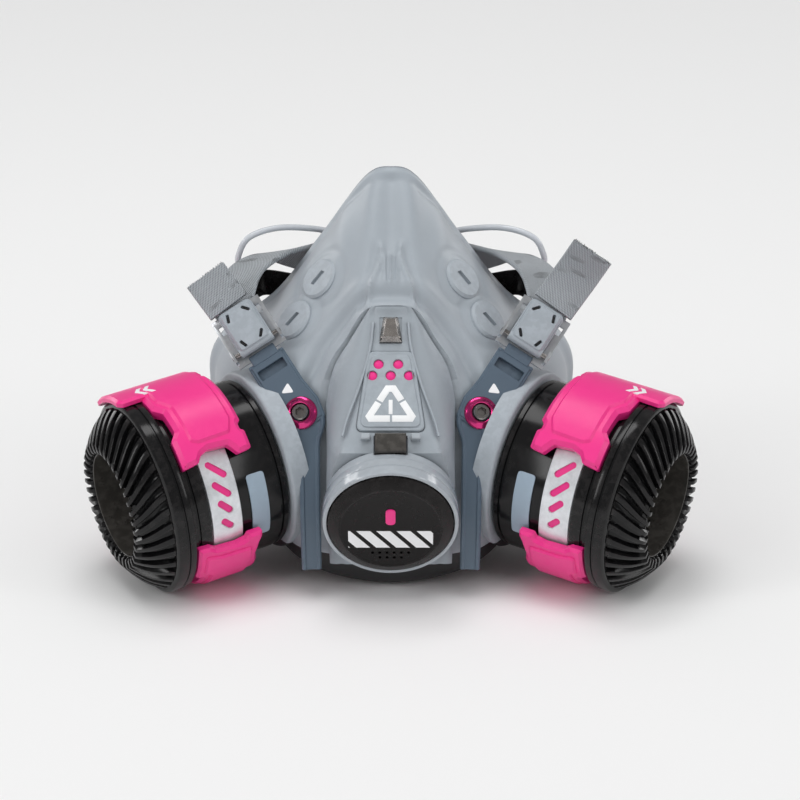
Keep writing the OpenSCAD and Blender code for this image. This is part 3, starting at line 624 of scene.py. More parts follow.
def make_moulding_group() -> Tree:
    """Fine moulded grain, soft mottling and dull patches, shared by all plastics and rubbers."""
    maker = GroupMaker(
        "Moulding",
        {
            "Colour": (0.5, 0.5, 0.5, 1.0), "Mottle": 0.1, "Grain": 2200.0, "Roughness": 0.5,
            "Roughness Spread": 0.1
        },
        {"Colour": "NodeSocketColor", "Roughness": "NodeSocketFloat", "Height": "NodeSocketFloat"},
    )
    tree, taken, given = maker.start()
    place = object_place(tree)
    cloud = noise(tree, place, 38.0, 4.0)
    patch = noise(tree, place, 170.0, 5.0, 0.65)
    grain = noise(tree, place, taken.outputs["Grain"], 2.0)
    both = math_node(
        tree, "ADD", math_node(tree, "MULTIPLY", cloud, 0.6), math_node(tree, "MULTIPLY", patch, 0.4)
    )
    swing = math_node(tree, "MULTIPLY", math_node(tree, "SUBTRACT", both, 0.5), taken.outputs["Mottle"])
    lift = math_node(tree, "ADD", math_node(tree, "MULTIPLY", swing, 4.0), 1.0)
    scaled = tree.nodes.new("ShaderNodeVectorMath")
    scaled.operation = "SCALE"
    tree.links.new(taken.outputs["Colour"], scaled.inputs[0])
    tree.links.new(lift, scaled.inputs["Scale"])
    tree.links.new(scaled.outputs[0], given.inputs["Colour"])
    dull = math_node(
        tree, "MULTIPLY", math_node(tree, "SUBTRACT", patch, 0.5), taken.outputs["Roughness Spread"]
    )
    rough = math_node(tree, "ADD", taken.outputs["Roughness"], math_node(tree, "MULTIPLY", dull, 3.0))
    tree.links.new(math_node(tree, "MAXIMUM", rough, 0.04), given.inputs["Roughness"])
    tree.links.new(grain, given.inputs["Height"])
    return tree


def make_edge_group() -> Tree:
    """A mask that is bright along worn outer edges."""
    maker = GroupMaker("Edge wear", {"Reach": 0.06, "Break-up": 420.0}, {"Mask": "NodeSocketFloat"})
    tree, taken, given = maker.start()
    sharp = tree.nodes.new("ShaderNodeNewGeometry").outputs["Pointiness"]
    past = math_node(tree, "SUBTRACT", sharp, 0.5)
    edge = math_node(tree, "DIVIDE", past, taken.outputs["Reach"])
    chips = noise(tree, object_place(tree), taken.outputs["Break-up"], 4.0, 0.6)
    worn = math_node(
        tree, "MULTIPLY", math_node(tree, "MAXIMUM", edge, 0.0), remap(tree, chips, 0.42, 0.62, 0.15, 1.0)
    )
    tree.links.new(math_node(tree, "MINIMUM", worn, 1.0), given.inputs["Mask"])
    return tree


def make_weave_group() -> Tree:
    """Twill of narrow webbing, from the strap's own flat coordinates."""
    maker = GroupMaker(
        "Webbing twill",
        {"Threads": 1.0, "Colour": (0.3, 0.3, 0.3, 1.0), "Shade": (0.1, 0.1, 0.1, 1.0)},
        {"Colour": "NodeSocketColor", "Height": "NodeSocketFloat", "Roughness": "NodeSocketFloat"},
    )
    tree, taken, given = maker.start()
    flat = tree.nodes.new("ShaderNodeUVMap")
    flat.uv_map = "Strap"
    parts = tree.nodes.new("ShaderNodeSeparateXYZ")
    tree.links.new(flat.outputs["UV"], parts.inputs[0])
    across = math_node(tree, "MULTIPLY", parts.outputs[0], taken.outputs["Threads"])
    along = math_node(tree, "MULTIPLY", parts.outputs[1], taken.outputs["Threads"])
    slant = math_node(
        tree, "ADD", math_node(tree, "MULTIPLY", across, 2.4), math_node(tree, "MULTIPLY", along, 1.5)
    )
    rib = math_node(tree, "ABSOLUTE", math_node(tree, "SINE", math_node(tree, "MULTIPLY", slant, math.pi)))
    cross = math_node(
        tree, "ABSOLUTE", math_node(tree, "SINE", math_node(tree, "MULTIPLY", along, 2.2 * math.pi))
    )
    fuzz = noise(tree, object_place(tree), 1500.0, 4.0, 0.7)
    height = math_node(
        tree, "ADD", math_node(tree, "MULTIPLY", rib, 0.7), math_node(tree, "MULTIPLY", cross, 0.3)
    )
    full = math_node(tree, "ADD", height, math_node(tree, "MULTIPLY", fuzz, 0.35))
    tree.links.new(full, given.inputs["Height"])
    worn = noise(tree, object_place(tree), 60.0, 3.0)
    share = math_node(
        tree, "MULTIPLY", remap(tree, full, 0.2, 1.1, 0.0, 1.0), remap(tree, worn, 0.2, 0.8, 0.75, 1.1)
    )
    tone = mix_colour(tree, share, taken.outputs["Shade"], taken.outputs["Colour"])
    tree.links.new(tone, given.inputs["Colour"])
    tree.links.new(remap(tree, fuzz, 0.0, 1.0, 0.7, 0.95), given.inputs["Roughness"])
    return tree


def make_brushed_group() -> Tree:
    """Fine scratches and smudges of satin metal."""
    maker = GroupMaker(
        "Satin metal",
        {"Colour": (0.7, 0.7, 0.7, 1.0), "Roughness": 0.3, "Spread": 0.2},
        {"Colour": "NodeSocketColor", "Height": "NodeSocketFloat", "Roughness": "NodeSocketFloat"},
    )
    tree, taken, given = maker.start()
    place = tree.nodes.new("ShaderNodeMapping")
    place.inputs["Scale"].default_value = (0.25, 1.0, 1.0)
    tree.links.new(object_place(tree), place.inputs["Vector"])
    line = noise(tree, place.outputs[0], 2600.0, 3.0, 0.6)
    smudge = noise(tree, object_place(tree), 150.0, 4.0, 0.6)
    tone = remap(tree, smudge, 0.3, 0.7, 0.88, 1.08)
    scaled = tree.nodes.new("ShaderNodeVectorMath")
    scaled.operation = "SCALE"
    tree.links.new(taken.outputs["Colour"], scaled.inputs[0])
    tree.links.new(tone, scaled.inputs["Scale"])
    tree.links.new(scaled.outputs[0], given.inputs["Colour"])
    swing = math_node(tree, "MULTIPLY", math_node(tree, "SUBTRACT", line, 0.5), taken.outputs["Spread"])
    patch = math_node(tree, "MULTIPLY", math_node(tree, "SUBTRACT", smudge, 0.5), taken.outputs["Spread"])
    rough = math_node(tree, "ADD", taken.outputs["Roughness"], math_node(tree, "ADD", swing, patch))
    tree.links.new(math_node(tree, "MAXIMUM", rough, 0.05), given.inputs["Roughness"])
    tree.links.new(line, given.inputs["Height"])
    return tree


@dataclass
class Groups:
    """The shader groups that the finishes share, each made once."""

    moulding: Tree = field(default_factory=make_moulding_group)
    edge: Tree = field(default_factory=make_edge_group)
    weave: Tree = field(default_factory=make_weave_group)
    brushed: Tree = field(default_factory=make_brushed_group)


GROUPS = Groups()


@dataclass(frozen=True)
class Finish:
    """What every finish has: its slot in the record and how strong its relief is."""

    slot: str
    colour: tuple[float, float, float]
    roughness: float = 0.5
    relief: float = 0.12
    relief_depth: float = 0.0001

    def begin(self) -> tuple[bpy.types.Material, Tree, bpy.types.Node]:
        """Starts the material.

        Returns:
            The material, its tree and its shader.
        """
        made = bpy.data.materials.new(self.slot)
        made.use_nodes = True
        tree = made.node_tree
        shader = tree.nodes["Principled BSDF"]
        made.diffuse_color = (*self.colour, 1.0)
        return made, tree, shader

    def place_group(
        self, tree: Tree, group: Tree, values: dict[str, float | tuple[float, ...]]
    ) -> bpy.types.Node:
        """Places a shared group with its own values."""
        made = tree.nodes.new("ShaderNodeGroup")
        made.node_tree = group
        for name, value in values.items():
            made.inputs[name].default_value = value
        return made

    def emboss(self, tree: Tree, shader: bpy.types.Node, height: Socket) -> None:
        """Feeds a height to the shader as a bump."""
        made = tree.nodes.new("ShaderNodeBump")
        made.inputs["Strength"].default_value = self.relief
        made.inputs["Distance"].default_value = self.relief_depth
        tree.links.new(height, made.inputs["Height"])
        tree.links.new(made.outputs["Normal"], shader.inputs["Normal"])

    def build(self) -> bpy.types.Material:
        """Makes the material."""
        raise NotImplementedError


@dataclass(frozen=True)
class Moulded(Finish):
    """Moulded plastic, silicone or rubber, with grain and paler or darker worn edges."""

    mottle: float = 0.05
    grain: float = 2400.0
    spread: float = 0.08
    edge_colour: tuple[float, float, float] | None = None
    edge_strength: float = 0.35
    coat: float = 0.0
    coat_roughness: float = 0.1
    specular: float = 0.5
    sheen: float = 0.0

    def build(self) -> bpy.types.Material:
        """Makes the material."""
        made, tree, shader = self.begin()
        grain = self.place_group(
            tree,
            GROUPS.moulding,
            {
                "Colour": (*self.colour, 1.0),
                "Mottle": self.mottle,
                "Grain": self.grain,
                "Roughness": self.roughness,
                "Roughness Spread": self.spread,
            },
        )
        edge = self.place_group(tree, GROUPS.edge, {"Reach": 0.09, "Break-up": 420.0})
        pale = self.edge_colour or tuple(min(1.0, c * 1.35 + 0.02) for c in self.colour)
        share = math_node(tree, "MULTIPLY", edge.outputs["Mask"], self.edge_strength)
        tone = mix_colour(tree, share, grain.outputs["Colour"], (*pale, 1.0))
        tree.links.new(tone, shader.inputs["Base Color"])
        tree.links.new(grain.outputs["Roughness"], shader.inputs["Roughness"])
        shader.inputs["Coat Weight"].default_value = self.coat
        shader.inputs["Coat Roughness"].default_value = self.coat_roughness
        shader.inputs["Specular IOR Level"].default_value = self.specular
        shader.inputs["Sheen Weight"].default_value = self.sheen
        self.emboss(tree, shader, grain.outputs["Height"])
        return made


@dataclass(frozen=True)
class Satin(Finish):
    """Satin, machined or anodised metal."""

    spread: float = 0.2
    metallic: float = 1.0
    coat: float = 0.0

    def build(self) -> bpy.types.Material:
        """Makes the material."""
        made, tree, shader = self.begin()
        metal = self.place_group(
            tree, GROUPS.brushed,
            {"Colour": (*self.colour, 1.0), "Roughness": self.roughness, "Spread": self.spread}
        )
        edge = self.place_group(tree, GROUPS.edge, {"Reach": 0.1, "Break-up": 600.0})
        pale = tuple(min(1.0, c * 1.2 + 0.04) for c in self.colour)
        share = math_node(tree, "MULTIPLY", edge.outputs["Mask"], 0.4)
        tone = mix_colour(tree, share, metal.outputs["Colour"], (*pale, 1.0))
        tree.links.new(tone, shader.inputs["Base Color"])
        tree.links.new(metal.outputs["Roughness"], shader.inputs["Roughness"])
        shader.inputs["Metallic"].default_value = self.metallic
        shader.inputs["Coat Weight"].default_value = self.coat
        self.emboss(tree, shader, metal.outputs["Height"])
        return made


@dataclass(frozen=True)
class Webbing(Finish):
    """Woven polyester webbing."""

    shade: tuple[float, float, float] = (0.1, 0.11, 0.12)
    threads: float = 1.0

    def build(self) -> bpy.types.Material:
        """Makes the material."""
        made, tree, shader = self.begin()
        weave = self.place_group(
            tree,
            GROUPS.weave,
            {"Threads": self.threads, "Colour": (*self.colour, 1.0), "Shade": (*self.shade, 1.0)},
        )
        tree.links.new(weave.outputs["Colour"], shader.inputs["Base Color"])
        tree.links.new(weave.outputs["Roughness"], shader.inputs["Roughness"])
        shader.inputs["Sheen Weight"].default_value = 0.25
        shader.inputs["Sheen Roughness"].default_value = 0.6
        self.emboss(tree, shader, weave.outputs["Height"])
        return made


FINISHES: list[Finish] = [
    Moulded("grey_silicone", (0.34, 0.378, 0.415), 0.46, 0.16, 0.00008, mottle=0.05, spread=0.07, sheen=0.12),
    Moulded("black_rubber", (0.014, 0.014, 0.015), 0.5, 0.2, 0.0001, edge_colour=(0.05, 0.05, 0.052)),
    Moulded("seal_silicone", (0.20, 0.22, 0.245), 0.42, 0.1, 0.00006, sheen=0.1),
    Moulded("grey_shell", (0.32, 0.357, 0.392), 0.36, 0.12, 0.00006, mottle=0.03),
    Moulded("grey_gloss", (0.36, 0.395, 0.43), 0.2, 0.06, 0.00005, mottle=0.02, coat=0.7),
    Moulded(
        "pink_satin", (0.85, 0.028, 0.25), 0.34, 0.12, 0.00006, mottle=0.03, edge_colour=(0.95, 0.08, 0.3)
    ),
    Satin("pink_anodised", (0.66, 0.03, 0.2), 0.2, 0.05, 0.00003, coat=0.5),
    Moulded("white_print", (0.86, 0.87, 0.88), 0.42, 0.05, 0.00004, mottle=0.01, edge_strength=0.0),
    Satin("bronze_metal", (0.52, 0.48, 0.45), 0.26, 0.08, 0.00003),
    Satin("steel", (0.30, 0.28, 0.27), 0.25, 0.08, 0.00003),
    Satin("brass", (0.62, 0.45, 0.2), 0.3, 0.08, 0.00003),
    Moulded("slate_plastic", (0.085, 0.12, 0.16), 0.42, 0.12, 0.00006, mottle=0.05),
    Satin("pale_metal", (0.72, 0.74, 0.77), 0.36, 0.08, 0.00003),
    Moulded("pale_tube", (0.56, 0.59, 0.63), 0.16, 0.03, 0.00003, mottle=0.02, coat=0.6),
    Moulded("pale_plate", (0.30, 0.38, 0.46), 0.38, 0.1, 0.00005, mottle=0.04),
    Webbing("grey_webbing", (0.44, 0.475, 0.51), 0.8, 0.8, 0.0004, threads=0.7),
    Moulded(
        "black_satin", (0.006, 0.005, 0.005), 0.26, 0.12, 0.00006, edge_colour=(0.09, 0.08, 0.08),
        specular=0.22
    ),
    Moulded(
        "black_gloss", (0.004, 0.004, 0.0045), 0.16, 0.04, 0.00004, spread=0.03,
        edge_colour=(0.05, 0.045, 0.045), specular=0.3
    ),
    Moulded("dark_plastic", (0.04, 0.037, 0.033), 0.3, 0.1, 0.00005, edge_colour=(0.14, 0.13, 0.12)),
    Satin("silver_band", (0.74, 0.76, 0.79), 0.34, 0.06, 0.00003, metallic=0.55),
    Moulded("filter_felt", (0.55, 0.55, 0.53), 0.9, 0.8, 0.0003, mottle=0.1),
]
MATERIALS: dict[str, bpy.types.Material] = {f.slot: f.build() for f in FINISHES}
NODE_SLOT: dict[str, str] = {s["node"]: s["material_slot"] for s in frame["record"]["subparts"]}


# ---------------------------------------------------------------- pieces


def shade_by_angle(mesh: bpy.types.Mesh, degrees: float) -> None:
    """Shades a mesh smooth, with sharp edges where it turns by more than an angle."""
    work = bmesh.new()
    work.from_mesh(mesh)
    limit = math.radians(degrees)
    for f in work.faces:
        f.smooth = True
    for e in work.edges:
        e.smooth = len(e.link_faces) == 2 and e.calc_face_angle(0.0) < limit
    work.to_mesh(mesh)
    work.free()


def put(
    shape: Shape | bpy.types.Mesh,
    name: str,
    body: str,
    slot: str,
    nodes: Sequence[str] = (),
    sharp: float = 32.0,
) -> bpy.types.Object:
    """Turns a shape into a piece of the mask.

    Args:
        shape: The shape, or a mesh in metres.
        name: The piece's name.
        body: The body it moves with.
        slot: The finish it has.
        nodes: The frame's nodes that it stands for.
        sharp: The angle from which an edge is sharp.

    Returns:
        The object.
    """
    mesh = shape.mesh(name) if isinstance(shape, Shape) else shape
    shade_by_angle(mesh, sharp)
    made = bpy.data.objects.new(name, mesh)
    bpy.context.scene.collection.objects.link(made)
    made.data.materials.clear()
    made.data.materials.append(MATERIALS[slot])
    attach(made, body)
    if nodes:
        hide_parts(*nodes)
    LOG.info("%s: %d faces on %s", name, len(mesh.polygons), body)
    return made


def bevelled(node: str, width: float, sharp: float = 32.0, segments: int = 2) -> bpy.types.Object:
    """A softened copy of a frame node, which it stands for.

    Args:
        node: The node's name.
        width: Width of the rounding on its edges.
        sharp: The angle from which an edge is rounded.
        segments: How many strips make the rounding.

    Returns:
        The object.
    """
    source = frame["nodes"][node]
    work = bmesh.new()
    work.from_mesh(source.data)
    bmesh.ops.remove_doubles(work, verts=work.verts, dist=1e-6)
    bmesh.ops.dissolve_limit(work, angle_limit=math.radians(1.5), verts=work.verts, edges=work.edges)
    mesh = bpy.data.meshes.new(node + "_soft")
    work.to_mesh(mesh)
    work.free()
    made = put(mesh, node + "_made", source["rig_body"], NODE_SLOT[node], [node], sharp)
    tool = made.modifiers.new("Soft edges", "BEVEL")
    tool.width = width * MM
    tool.segments = segments
    tool.limit_method = "ANGLE"
    tool.angle_limit = math.radians(sharp)
    tool.harden_normals = False
    baked = bpy.data.meshes.new_from_object(made.evaluated_get(bpy.context.evaluated_depsgraph_get()))
    made.modifiers.clear()
    made.data = baked
    shade_by_angle(baked, sharp)
    return made


def cut(target: bpy.types.Object, tools: Sequence[Shape], operation: str = "DIFFERENCE") -> None:
    """Cuts shapes out of a piece, or joins them to it.

    Args:
        target: The piece.
        tools: Closed shapes, in millimetres.
        operation: DIFFERENCE or UNION.
    """
    for number, tool in enumerate(tools):
        cutter = bpy.data.objects.new(f"tool_{number}", tool.mesh("tool"))
        bpy.context.scene.collection.objects.link(cutter)
        made = target.modifiers.new("Cut", "BOOLEAN")
        made.operation = operation
        made.solver = "EXACT"
        made.object = cutter
        bpy.context.view_layer.update()
        baked = bpy.data.meshes.new_from_object(target.evaluated_get(bpy.context.evaluated_depsgraph_get()))
        target.modifiers.clear()
        target.data = baked
        bpy.data.objects.remove(cutter)


def cylinder(axes: Axes, r: float, low: float, high: float, count: int = 96) -> Shape:
    """A closed round tool."""
    rows = [[axes.round_at(360 * k / count, r, z) for k in range(count)] for z in (low, high)]
    return Shape().tube(rows)


# ---------------------------------------------------------------- soft facepiece

FACE_NET_MM = [
    [(0, -9, 88.4), (0, 4, 100.6), (0, 16, 112), (0, 28, 122.4)],
    [(8, -9.4, 87), (9.8, 4, 99), (9.4, 17, 110), (8.4, 30, 118.6)],
    [(13.8, -11, 78.5), (20, 4, 88), (23, 20, 96), (22, 36, 98.6)],
    [(19.2, -13.5, 70.5), (29, 1, 77), (35, 20, 81), (37, 41, 78)],
    [(22.2, -16, 59), (36, -9.5, 62.5), (48, 18, 64.5), (56.5, 43, 61.5)],
    [(22, -20.5, 46), (35, -13, 47), (53, 14, 48), (60, 43, 46)],
    [(21.6, -25, 30), (32, -19, 27), (47, 8, 24), (52, 36, 24)],
    [(20.4, -27, 14), (26, -21, 7.5), (32, -2, 4.5), (32, 22, 6)],
    [(0, -28, 9), (0, -23, 1.4), (0, -8, 0.4), (0, 13, 1.4)],
]


@dataclass
class FacePiece:
    """The soft facepiece, its lower part below the chin line in black rubber as painted shade, its inner seal
    and the slotted plugs.
    """

    wall: float = 2.4
    chin_line: float = 13.0
    steps_round: int = 16
    rows: int = 56
    groove_depth: float = 1.5
    bead_height: float = 0.85
    rib_height: float = 0.85
    flange_r: float = 28.75
    port_hole_r: float = 24.75
    plug_r: float = 7.0
    plug_places: tuple[tuple[float, float], ...] = ((2.05, 0.46), (2.95, 0.4))
    seal_width: float = 9.0
    net: list[list[Vector]] = field(default_factory=lambda: [[Vector(p) for p in row] for row in FACE_NET_MM])

    def column(self, k: int) -> list[Vector]:
        """Control column k of the full ring."""
        half = len(self.net) - 1
        k %= 2 * half
        return self.net[k] if k <= half else [flip(p) for p in self.net[2 * half - k]]

    def point(self, u: float, v: float) -> Vector:
        """Bare surface point: u counts columns round the face, v runs from the shell to the rim."""
        i = math.floor(u)
        s = v * 3
        a, b, c, d = (row_at(self.column(i + k), s) for k in (-1, 0, 1, 2))
        return spline(a, b, c, d, u - i)

    def normal(self, u: float, v: float) -> Vector:
        """Inward direction of the bare surface."""
        e = 0.02
        du = self.point(u + e, v) - self.point(u - e, v)
        dv = self.point(u, min(v + e, 1)) - self.point(u, max(v - e, 0))
        return unit(dv.cross(du))

    def relief(self, u: float, v: float, p: Vector) -> float:
        """How far the moulded detail stands out of the bare surface.

        Args:
            u: Place round the face.
            v: Place from the shell to the rim.
            p: The bare point there.

        Returns:
            Height in millimetres, outward.
        """
        half = len(self.net) - 1
        fold = abs((u + half) % (2 * half) - half)
        height = 0.0
        # Soft channel that frames the front shell, with a bead outside it
        channel = 0.07 + 0.03 * step(fold, 0.6, 2.0) + 0.03 * step(fold, 3.0, 4.0)
        fade = 1 - step(fold, 6.2, 7.2)
        height -= self.groove_depth * bump(v - channel, 0.034) * fade
        height += self.bead_height * bump(v - channel - 0.085, 0.05) * fade
        # Shallow hollow down the nose ridge, and the fold either side of it
        x = abs(p.x)
        ridge = step(v, 0.3, 0.5) * (1 - step(v, 0.9, 1.0)) * step(p.z, 90, 97)
        height -= 0.8 * bump(x, 3.2) * ridge
        height += 0.5 * bump(x - 6.2, 2.6) * ridge
        # Three short ribs above the shell, and the ramp that runs down beside them
        if p.z > 84:
            ribs = step(v, 0.13, 0.15) * (1 - step(v, 0.33, 0.36))
            for place in (-1.9, 0.0, 1.9):
                height += self.rib_height * bump(p.x - place, 0.55) * ribs
            spread = 2.9 + 4.4 * (1 - step(v, 0.02, 0.36))
            ramp = (1 - step(v, 0.36, 0.46)) * step(v, 0.0, 0.05)
            height += 1.0 * bump(x - spread, 0.8) * ramp
            height -= 0.6 * bump(x - spread - 2.2, 1.2) * ramp
        # Fold that runs from the nose to the cheek
        cheek = bump(fold - 1.45, 0.2) * step(v, 0.3, 0.5) * (1 - step(v, 0.85, 1.0))
        height += 0.8 * cheek
        # Thickened rolled rim
        height += 0.7 * bump(v - 0.965, 0.03)
        height -= 0.35 * bump(v - 0.9, 0.03)
        # Soft raised pads round the slotted plugs
        for place_u, place_v in self.plug_places:
            middle = self.point(place_u, place_v)
            reach = min((p - middle).length, (flip(p) - middle).length)
            height += 0.55 * (1 - step(reach, 7.6, 9.4))
            height -= 0.3 * bump(reach - 10.4, 0.9)
        return height

    def tucked(self, p: Vector, back: float) -> Vector:
        """Place on the flange that the soft body runs behind the front shell."""
        middle = 50.0
        return vec(p.x * 0.78, p.y + back, middle + (p.z - middle) * 0.9)

    def body(self) -> Shape:
        """The hollow soft body as one closed skin."""
        count = 2 * (len(self.net) - 1) * self.steps_round
        outer = []
        inner = []
        for j in range(self.rows + 1):
            v = j / self.rows
            outside = []
            within = []
            for k in range(count):
                u = k / self.steps_round
                p = self.point(u, v)
                n = self.normal(u, v)
                outside.append(p - n * self.relief(u, v, p))
                within.append(p + n * self.wall)
            outer.append(outside)
            inner.append(within)
        lip = [(a + b) / 2 + vec(0, 0.5, 0) for a, b in zip(outer[-1], inner[-1])]
        tuck = [self.tucked(p, 0.9) for p in outer[0]]
        under = [self.tucked(p, 2.6) for p in outer[0]]
        rows = outer + [lip] + inner[::-1] + [under, tuck]
        return Shape().grid(rows, loop=True, ring=True)

    def boss(self, axes: Axes) -> Shape:
        """Soft round flange that a port sits in."""
        r = self.flange_r
        return lathe(
            axes,
            [
                (self.port_hole_r, -8.4),
                (r, -8.4),
                (r, -2.9),
                (r - 0.25, -2.3),
                (r - 0.9, -2.0),
                (self.port_hole_r, -2.0),
            ],
        )

    def cut_at_chin(self, mesh: bpy.types.Mesh, keep_above: bool, gap: float) -> bpy.types.Mesh:
        """Half of a mesh above or below the chin line.

        Args:
            mesh: The whole mesh.
            keep_above: Keeps the upper part, and the lower part otherwise.
            gap: Height of the cut from the chin line.

        Returns:
            The new mesh.
        """
        work = bmesh.new()
        work.from_mesh(mesh)
        made = bmesh.ops.bisect_plane(
            work,
            geom=work.verts[:] + work.edges[:] + work.faces[:],
            plane_co=(0, 0, (self.chin_line + gap) * MM),
            plane_no=(0, 0, 1),
            clear_inner=keep_above,
            clear_outer=not keep_above,
        )
        edges = [e for e in made["geom_cut"] if isinstance(e, bmesh.types.BMEdge)]
        bmesh.ops.triangle_fill(work, use_beauty=True, use_dissolve=True, edges=edges)
        bmesh.ops.recalc_face_normals(work, faces=work.faces)
        half = bpy.data.meshes.new("half")
        work.to_mesh(half)
        work.free()
        return half

    def build(self) -> None:
        """Builds and dresses every soft piece."""
        whole = put(self.body(), "facepiece_soft", "mask", "grey_silicone", ["facepiece"], 60)
        cut(whole, [self.boss(PORT)], "UNION")
        cut(whole, [cylinder(PORT, self.port_hole_r, -14, 6)])
        full = self.both_halves(whole.data)
        whole.data = self.cut_at_chin(full, True, 0.0)
        whole.data.materials.clear()
        whole.data.materials.append(MATERIALS["grey_silicone"])
        shade_by_angle(whole.data, 50)
        # Below the chin line the skin is black rubber: painted shade for the underside of the mask.
        chin = self.cut_at_chin(full, False, -0.15)
        put(chin, "chin_cup_soft", "mask", "black_rubber", ["chin_cup"], 50)
        self.build_seal()
        self.build_plugs()

    def both_halves(self, mesh: bpy.types.Mesh) -> bpy.types.Mesh:
        """The wearer's left half of a mesh with its mirror image."""
        work = bmesh.new()
        work.from_mesh(mesh)
        every = work.verts[:] + work.edges[:] + work.faces[:]
        bmesh.ops.bisect_plane(work, geom=every, plane_co=(0, 0, 0), plane_no=(1, 0, 0), clear_inner=True)
        every = work.verts[:] + work.edges[:] + work.faces[:]
        twin = bmesh.ops.duplicate(work, geom=every)["geom"]
        corners = [g for g in twin if isinstance(g, bmesh.types.BMVert)]
        for corner in corners:
            corner.co.x = -corner.co.x
        skins = [g for g in twin if isinstance(g, bmesh.types.BMFace)]
        bmesh.ops.reverse_faces(work, faces=skins)
        bmesh.ops.remove_doubles(work, verts=work.verts, dist=5e-6)
        bmesh.ops.recalc_face_normals(work, faces=work.faces)
        made = bpy.data.meshes.new("both")
        work.to_mesh(made)
        work.free()
        return made

    def build_seal(self) -> None:
        """The thin lip that turns in from the rim."""
        count = 2 * (len(self.net) - 1) * self.steps_round
        rows = []
        middle = vec(0, 36, 58)
        for k in range(count):
            p = self.point(k / self.steps_round, 1)
            inward = unit(vec(middle.x - p.x, 0, middle.z - p.z))
            q = p + vec(0, 0.75, 0) + inward * 0.4
            w = self.seal_width
            rows.append(
                [
                    q,
                    q + inward * w * 0.5 + vec(0, 0.1, 0),
                    q + inward * w + vec(0, -0.3, 0),
                    q + inward * (w + 0.25) + vec(0, 0.3, 0),
                    q + inward * w + vec(0, 1.0, 0),
                    q + inward * w * 0.5 + vec(0, 1.45, 0),
                    q + vec(0, 1.4, 0),
                    q - inward * 0.5 + vec(0, 0.7, 0),
                ]
            )
        put(Shape().grid(rows, ring=True), "face_seal_lip", "mask", "seal_silicone", ["face_seal"], 50)

    def build_plugs(self) -> None:
        """Four round plugs, each with one slot, and black rubber floors under the slots as painted shade."""
        made = Shape()
        slot_shade_pieces = Shape()
        for place_u, place_v in self.plug_places:
            z = -self.normal(place_u, place_v)
            x = unit(vec(0, 0, 1).cross(z))
            axes = Axes(self.point(place_u, place_v), x, z.cross(x), z)
            slot = rounded([(x - y * 0.3, y) for x, y in box_outline(1.7, 5.0)], 0.2, 2)
            half = plate(axes.at, circle(self.plug_r - 0.15, 64), -2.2, 1.6, 0.75, 0.9, [slot])
            # Black rubber floor under each slot: painted shade in the slot's recess.
            floor = plate(axes.at, box_outline(4.0, 5.6), -2.2, 0.5, 0.1)
            made.join(half).join(half.mirrored())
            slot_shade_pieces.join(floor).join(floor.mirrored())
        put(made, "slotted_plugs_made", "mask", "grey_silicone", ["slotted_plugs"], 30)
        put(slot_shade_pieces, "plug_slot_floors", "mask", "black_rubber", (), 30)


# ---------------------------------------------------------------- front shell

SHELL_LEVELS_MM = [
    (88.2, 5.8, -9.4, 4.0),
    (87.2, 6.8, -9.7, 4.6),
    (78, 12.6, -11.8, 6.6),
    (69.8, 17.6, -14.2, 8.8),
    (59, 20, -17.4, 11.4),
    (47.5, 19.9, -21.4, 16.5),
    (36, 19.8, -24.8, 18),
    (24, 19.6, -26.4, 17.5),
    (10, 19, -27.8, 15),
]


